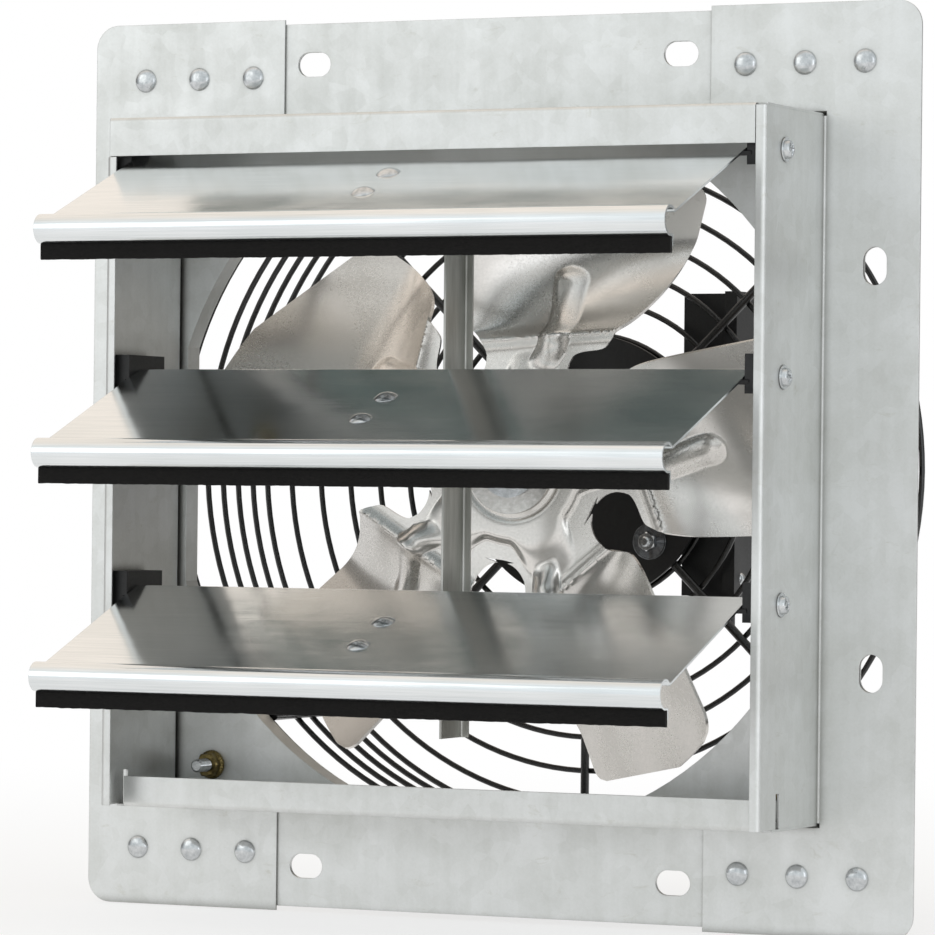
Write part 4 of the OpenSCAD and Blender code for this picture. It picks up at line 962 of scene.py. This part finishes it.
def guardFixings(g):
    fronts, backs, nuts = [], [], []
    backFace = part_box("guard_studs")[1][1] / mm - g["headHeight"]
    reach, height = g["face"] - g["tip"], g["face"] - g["nutTop"]
    rod, head = g["threadRadius"], g["headHeight"]
    for x in (-g["x"], g["x"]):
        for z in (-g["z"], g["z"]):
            front = facing(Vector((x, g["face"], z)), (0, -1, 0))
            fronts.append((turnShape(threadProfile(rod, g["sunk"], reach, g["pitch"]), 32), front))
            # the flange's rim is serrated
            nuts.append((turnShape([(rod, 0), (g["flange"], 0), (g["flange"], g["flangeEdge"]),
                                    g["flangeTop"], (rod + 0.1, g["flangeTop"][1])],
                                   128, g["serration"]), front))
            spin = Matrix.Rotation(0.4 + x * z, 4, "Z")
            nuts.append((hexShape(g["hex"], height - g["hexFoot"], g["bore"]),
                         front @ Matrix.Translation((0, 0, g["hexFoot"])) @ spin))
            behind = facing(Vector((x, backFace, z)), (0, 1, 0))
            backs.append((hexShape(g["headHex"], head), behind))
            backs.append((turnShape([(0, -head), (rod, -head), (rod, 0.2), (0, 0.2)], 24), behind))
    makePiece("serrated_guard_nuts", gather(nuts), finish["yellowZinc"], "housing",
              ("guard_nuts",), 25)
    makePiece("guard_stud_set", gather(fronts + backs), finish["zinc"], "housing",
              ("guard_studs",), 25)


guardFixings(guardFixing)
print("guard fixings: studs and serrated nuts")


pivotScrew = {  # mm
    "headRadius": 4.0,
    "headHeight": 2.6,
    "domeShare": 0.93,
    "recess": 1.5,
    "slotHalf": 0.62,
    "wingReach": 2.5,
    "shank": [(0, -10.0), (2.0, -10.0), (2.0, 0.05), (0, 0.05)],
    "washer": [(2.1, 0), (5.0, 0), (5.2, 0.2), (5.2, 0.6), (5.0, 0.8), (2.1, 0.8), (2.1, 0)],
    "washerThick": 0.8,
    "face": 157.0,
    "y": -48.5,
    "levels": (134.5, 38.5, -57.5),
}


def crossHead(p, rings=18, steps=96):
    # a pan head with a cross recess, round Z, from 0 up
    height, deep, slot, wingEnd = p["headHeight"], p["recess"], p["slotHalf"], p["wingReach"]
    corners = [Vector((0, 0, height - deep))]
    for i in range(1, rings + 1):
        t = i / rings
        r = p["headRadius"] * t
        top = height * sqrt(max(0.0, 1 - (p["domeShare"] * t) ** 4)) if t < 1 else 0.0
        for k in range(steps):
            angle = 2 * pi * k / steps
            a, b = r * cos(angle), r * sin(angle)
            wing = min(max(abs(a) / slot, abs(b) / wingEnd), max(abs(b) / slot, abs(a) / wingEnd))
            # the recess has sloping walls and grows shallower outwards
            sink = deep * (1 - smoothStep((wing - 0.7) / 0.45)) * (1 - 0.5 * t)
            corners.append(Vector((a, b, max(top - sink, 0.0 if t < 1 else top))))
    faces = [(0, 1 + k, 1 + (k + 1) % steps) for k in range(steps)]
    return corners, faces + joinRings(rings, steps, first=1)


def pivotScrews(p):
    screws, washers = [], []
    for side in (-1, 1):
        for level, z in enumerate(p["levels"]):
            seat = p["face"] + p["washerThick"]
            spin = Matrix.Rotation(0.5 + 1.1 * level + side, 4, "Z")  # no two stand alike
            at = facing(Vector((side * seat, p["y"], z)), (side, 0, 0))
            screws.append((crossHead(p), at @ spin))
            screws.append((turnShape(p["shank"], 24), at))
            base = facing(Vector((side * p["face"], p["y"], z)), (side, 0, 0))
            washers.append((turnShape(p["washer"]), base))
    makePiece("pivot_cross_head_screws", gather(screws), finish["zinc"], "housing",
              ("pivot_screws",), 50)
    makePiece("pivot_plain_washers", gather(washers), finish["zinc"], "housing",
              ("pivot_washers",), 35)


pivotScrews(pivotScrew)


rivet = {  # mm
    "places": ((175.25, 175.25), (147.65, 175.25), (120.05, 175.25)),
    "face": -3.0,
    "radius": 5.25,
    "height": 2.2,
    "spread": 0.03,  # a set head is never quite true: each leans and spreads a little
    "lean": (0.04, 0.05),
    "rows": 12,
    "dome": 2.3,
    "shank": [(2.4, 0.0), (2.4, 3.0), (3.6, 3.3), (3.4, 3.9), (0, 4.0)],
}


def flangeRivets(r):
    shapes = []
    for sx in (-1, 1):
        for sz in (-1, 1):
            for x, z in r["places"]:
                chance = noise.noise(Vector((sx * x, 2.0, sz * z)))
                out = r["radius"] * (1 + r["spread"] * chance)
                profile = [(0.0, r["height"])]
                for k in range(1, r["rows"] + 1):
                    t = k / r["rows"]
                    profile.append((out * t, r["height"] * sqrt(max(0.0, 1 - t ** r["dome"]))))
                spot = Vector((sx * x, r["face"], sz * z))
                axis = (r["lean"][0] * chance, -1, r["lean"][1] * chance)
                shapes.append((turnShape(profile), facing(spot, axis)))
                shapes.append((turnShape(r["shank"], 32), facing(spot, (0, 1, 0))))
    makePiece("set_flange_rivets", gather(shapes), finish["zinc"], "housing",
              ("flange_rivets",), 60)


flangeRivets(rivet)
print("rivets and pivot screws: set")


motorFixing = {  # mm
    "ring": 47.0,
    "plateFace": 101.7,
    "backFace": 109.7,
    "washerRadius": 8.3,
    "washerThick": 1.2,
    "washerBore": 2.6,
    "rim": 0.7,  # plain, outside the turned rings
    "ringStep": 0.55,
    "ringPlace": 0.25,
    "ringFloor": 1.02,
    "ringEnd": 3.6,
    "hex": 4.6,
    "hexHeight": 4.0,
    "thread": 2.5,
    "pitch": 0.8,
    "sunk": -8.0,
    "tip": 94.0,
}


def motorFixings(m):
    thick, bore, wide = m["washerThick"], m["washerBore"], m["washerRadius"]
    profile = [(bore, 0), (wide - 0.15, 0), (wide, 0.15), (wide, thick - 0.15),
               (wide - 0.25, thick), (wide - m["rim"], thick)]
    r = wide - m["rim"]
    while r > m["ringEnd"]:  # turned rings in the washer's face
        profile += [(r - m["ringPlace"], m["ringFloor"]), (r - m["ringStep"], thick)]
        r -= m["ringStep"]
    profile.append((bore, thick))
    screw = threadProfile(m["thread"], m["sunk"], m["plateFace"] - m["tip"], m["pitch"])
    washers, nuts, bolts = [], [], []
    for k in range(4):
        angle = radians(45 + 90 * k)
        x, z = m["ring"] * cos(angle), m["ring"] * sin(angle)
        front = facing(Vector((x, m["plateFace"], z)), (0, -1, 0))
        washers.append((turnShape(profile, 64), front))
        spin = Matrix.Rotation(0.7 * k, 4, "Z")
        nuts.append((hexShape(m["hex"], m["hexHeight"], m["thread"] + 0.05),
                     front @ Matrix.Translation((0, 0, thick)) @ spin))
        bolts.append((turnShape(screw, 32), front))
        back = facing(Vector((x, m["backFace"], z)), (0, 1, 0))
        bolts.append((hexShape(m["hex"], m["hexHeight"]), back))
    makePiece("turned_motor_washers", gather(washers), finish["washer"], "housing",
              ("motor_washers",), 20)
    makePiece("motor_hex_nuts", gather(nuts), finish["zinc"], "housing",
              ("motor_nuts",), 25)
    makePiece("motor_through_bolts", gather(bolts), finish["zinc"], "housing",
              ("motor_bolts",), 25)


motorFixings(motorFixing)
print("motor fixings: washers, nuts and bolts")

print("pieces ready")
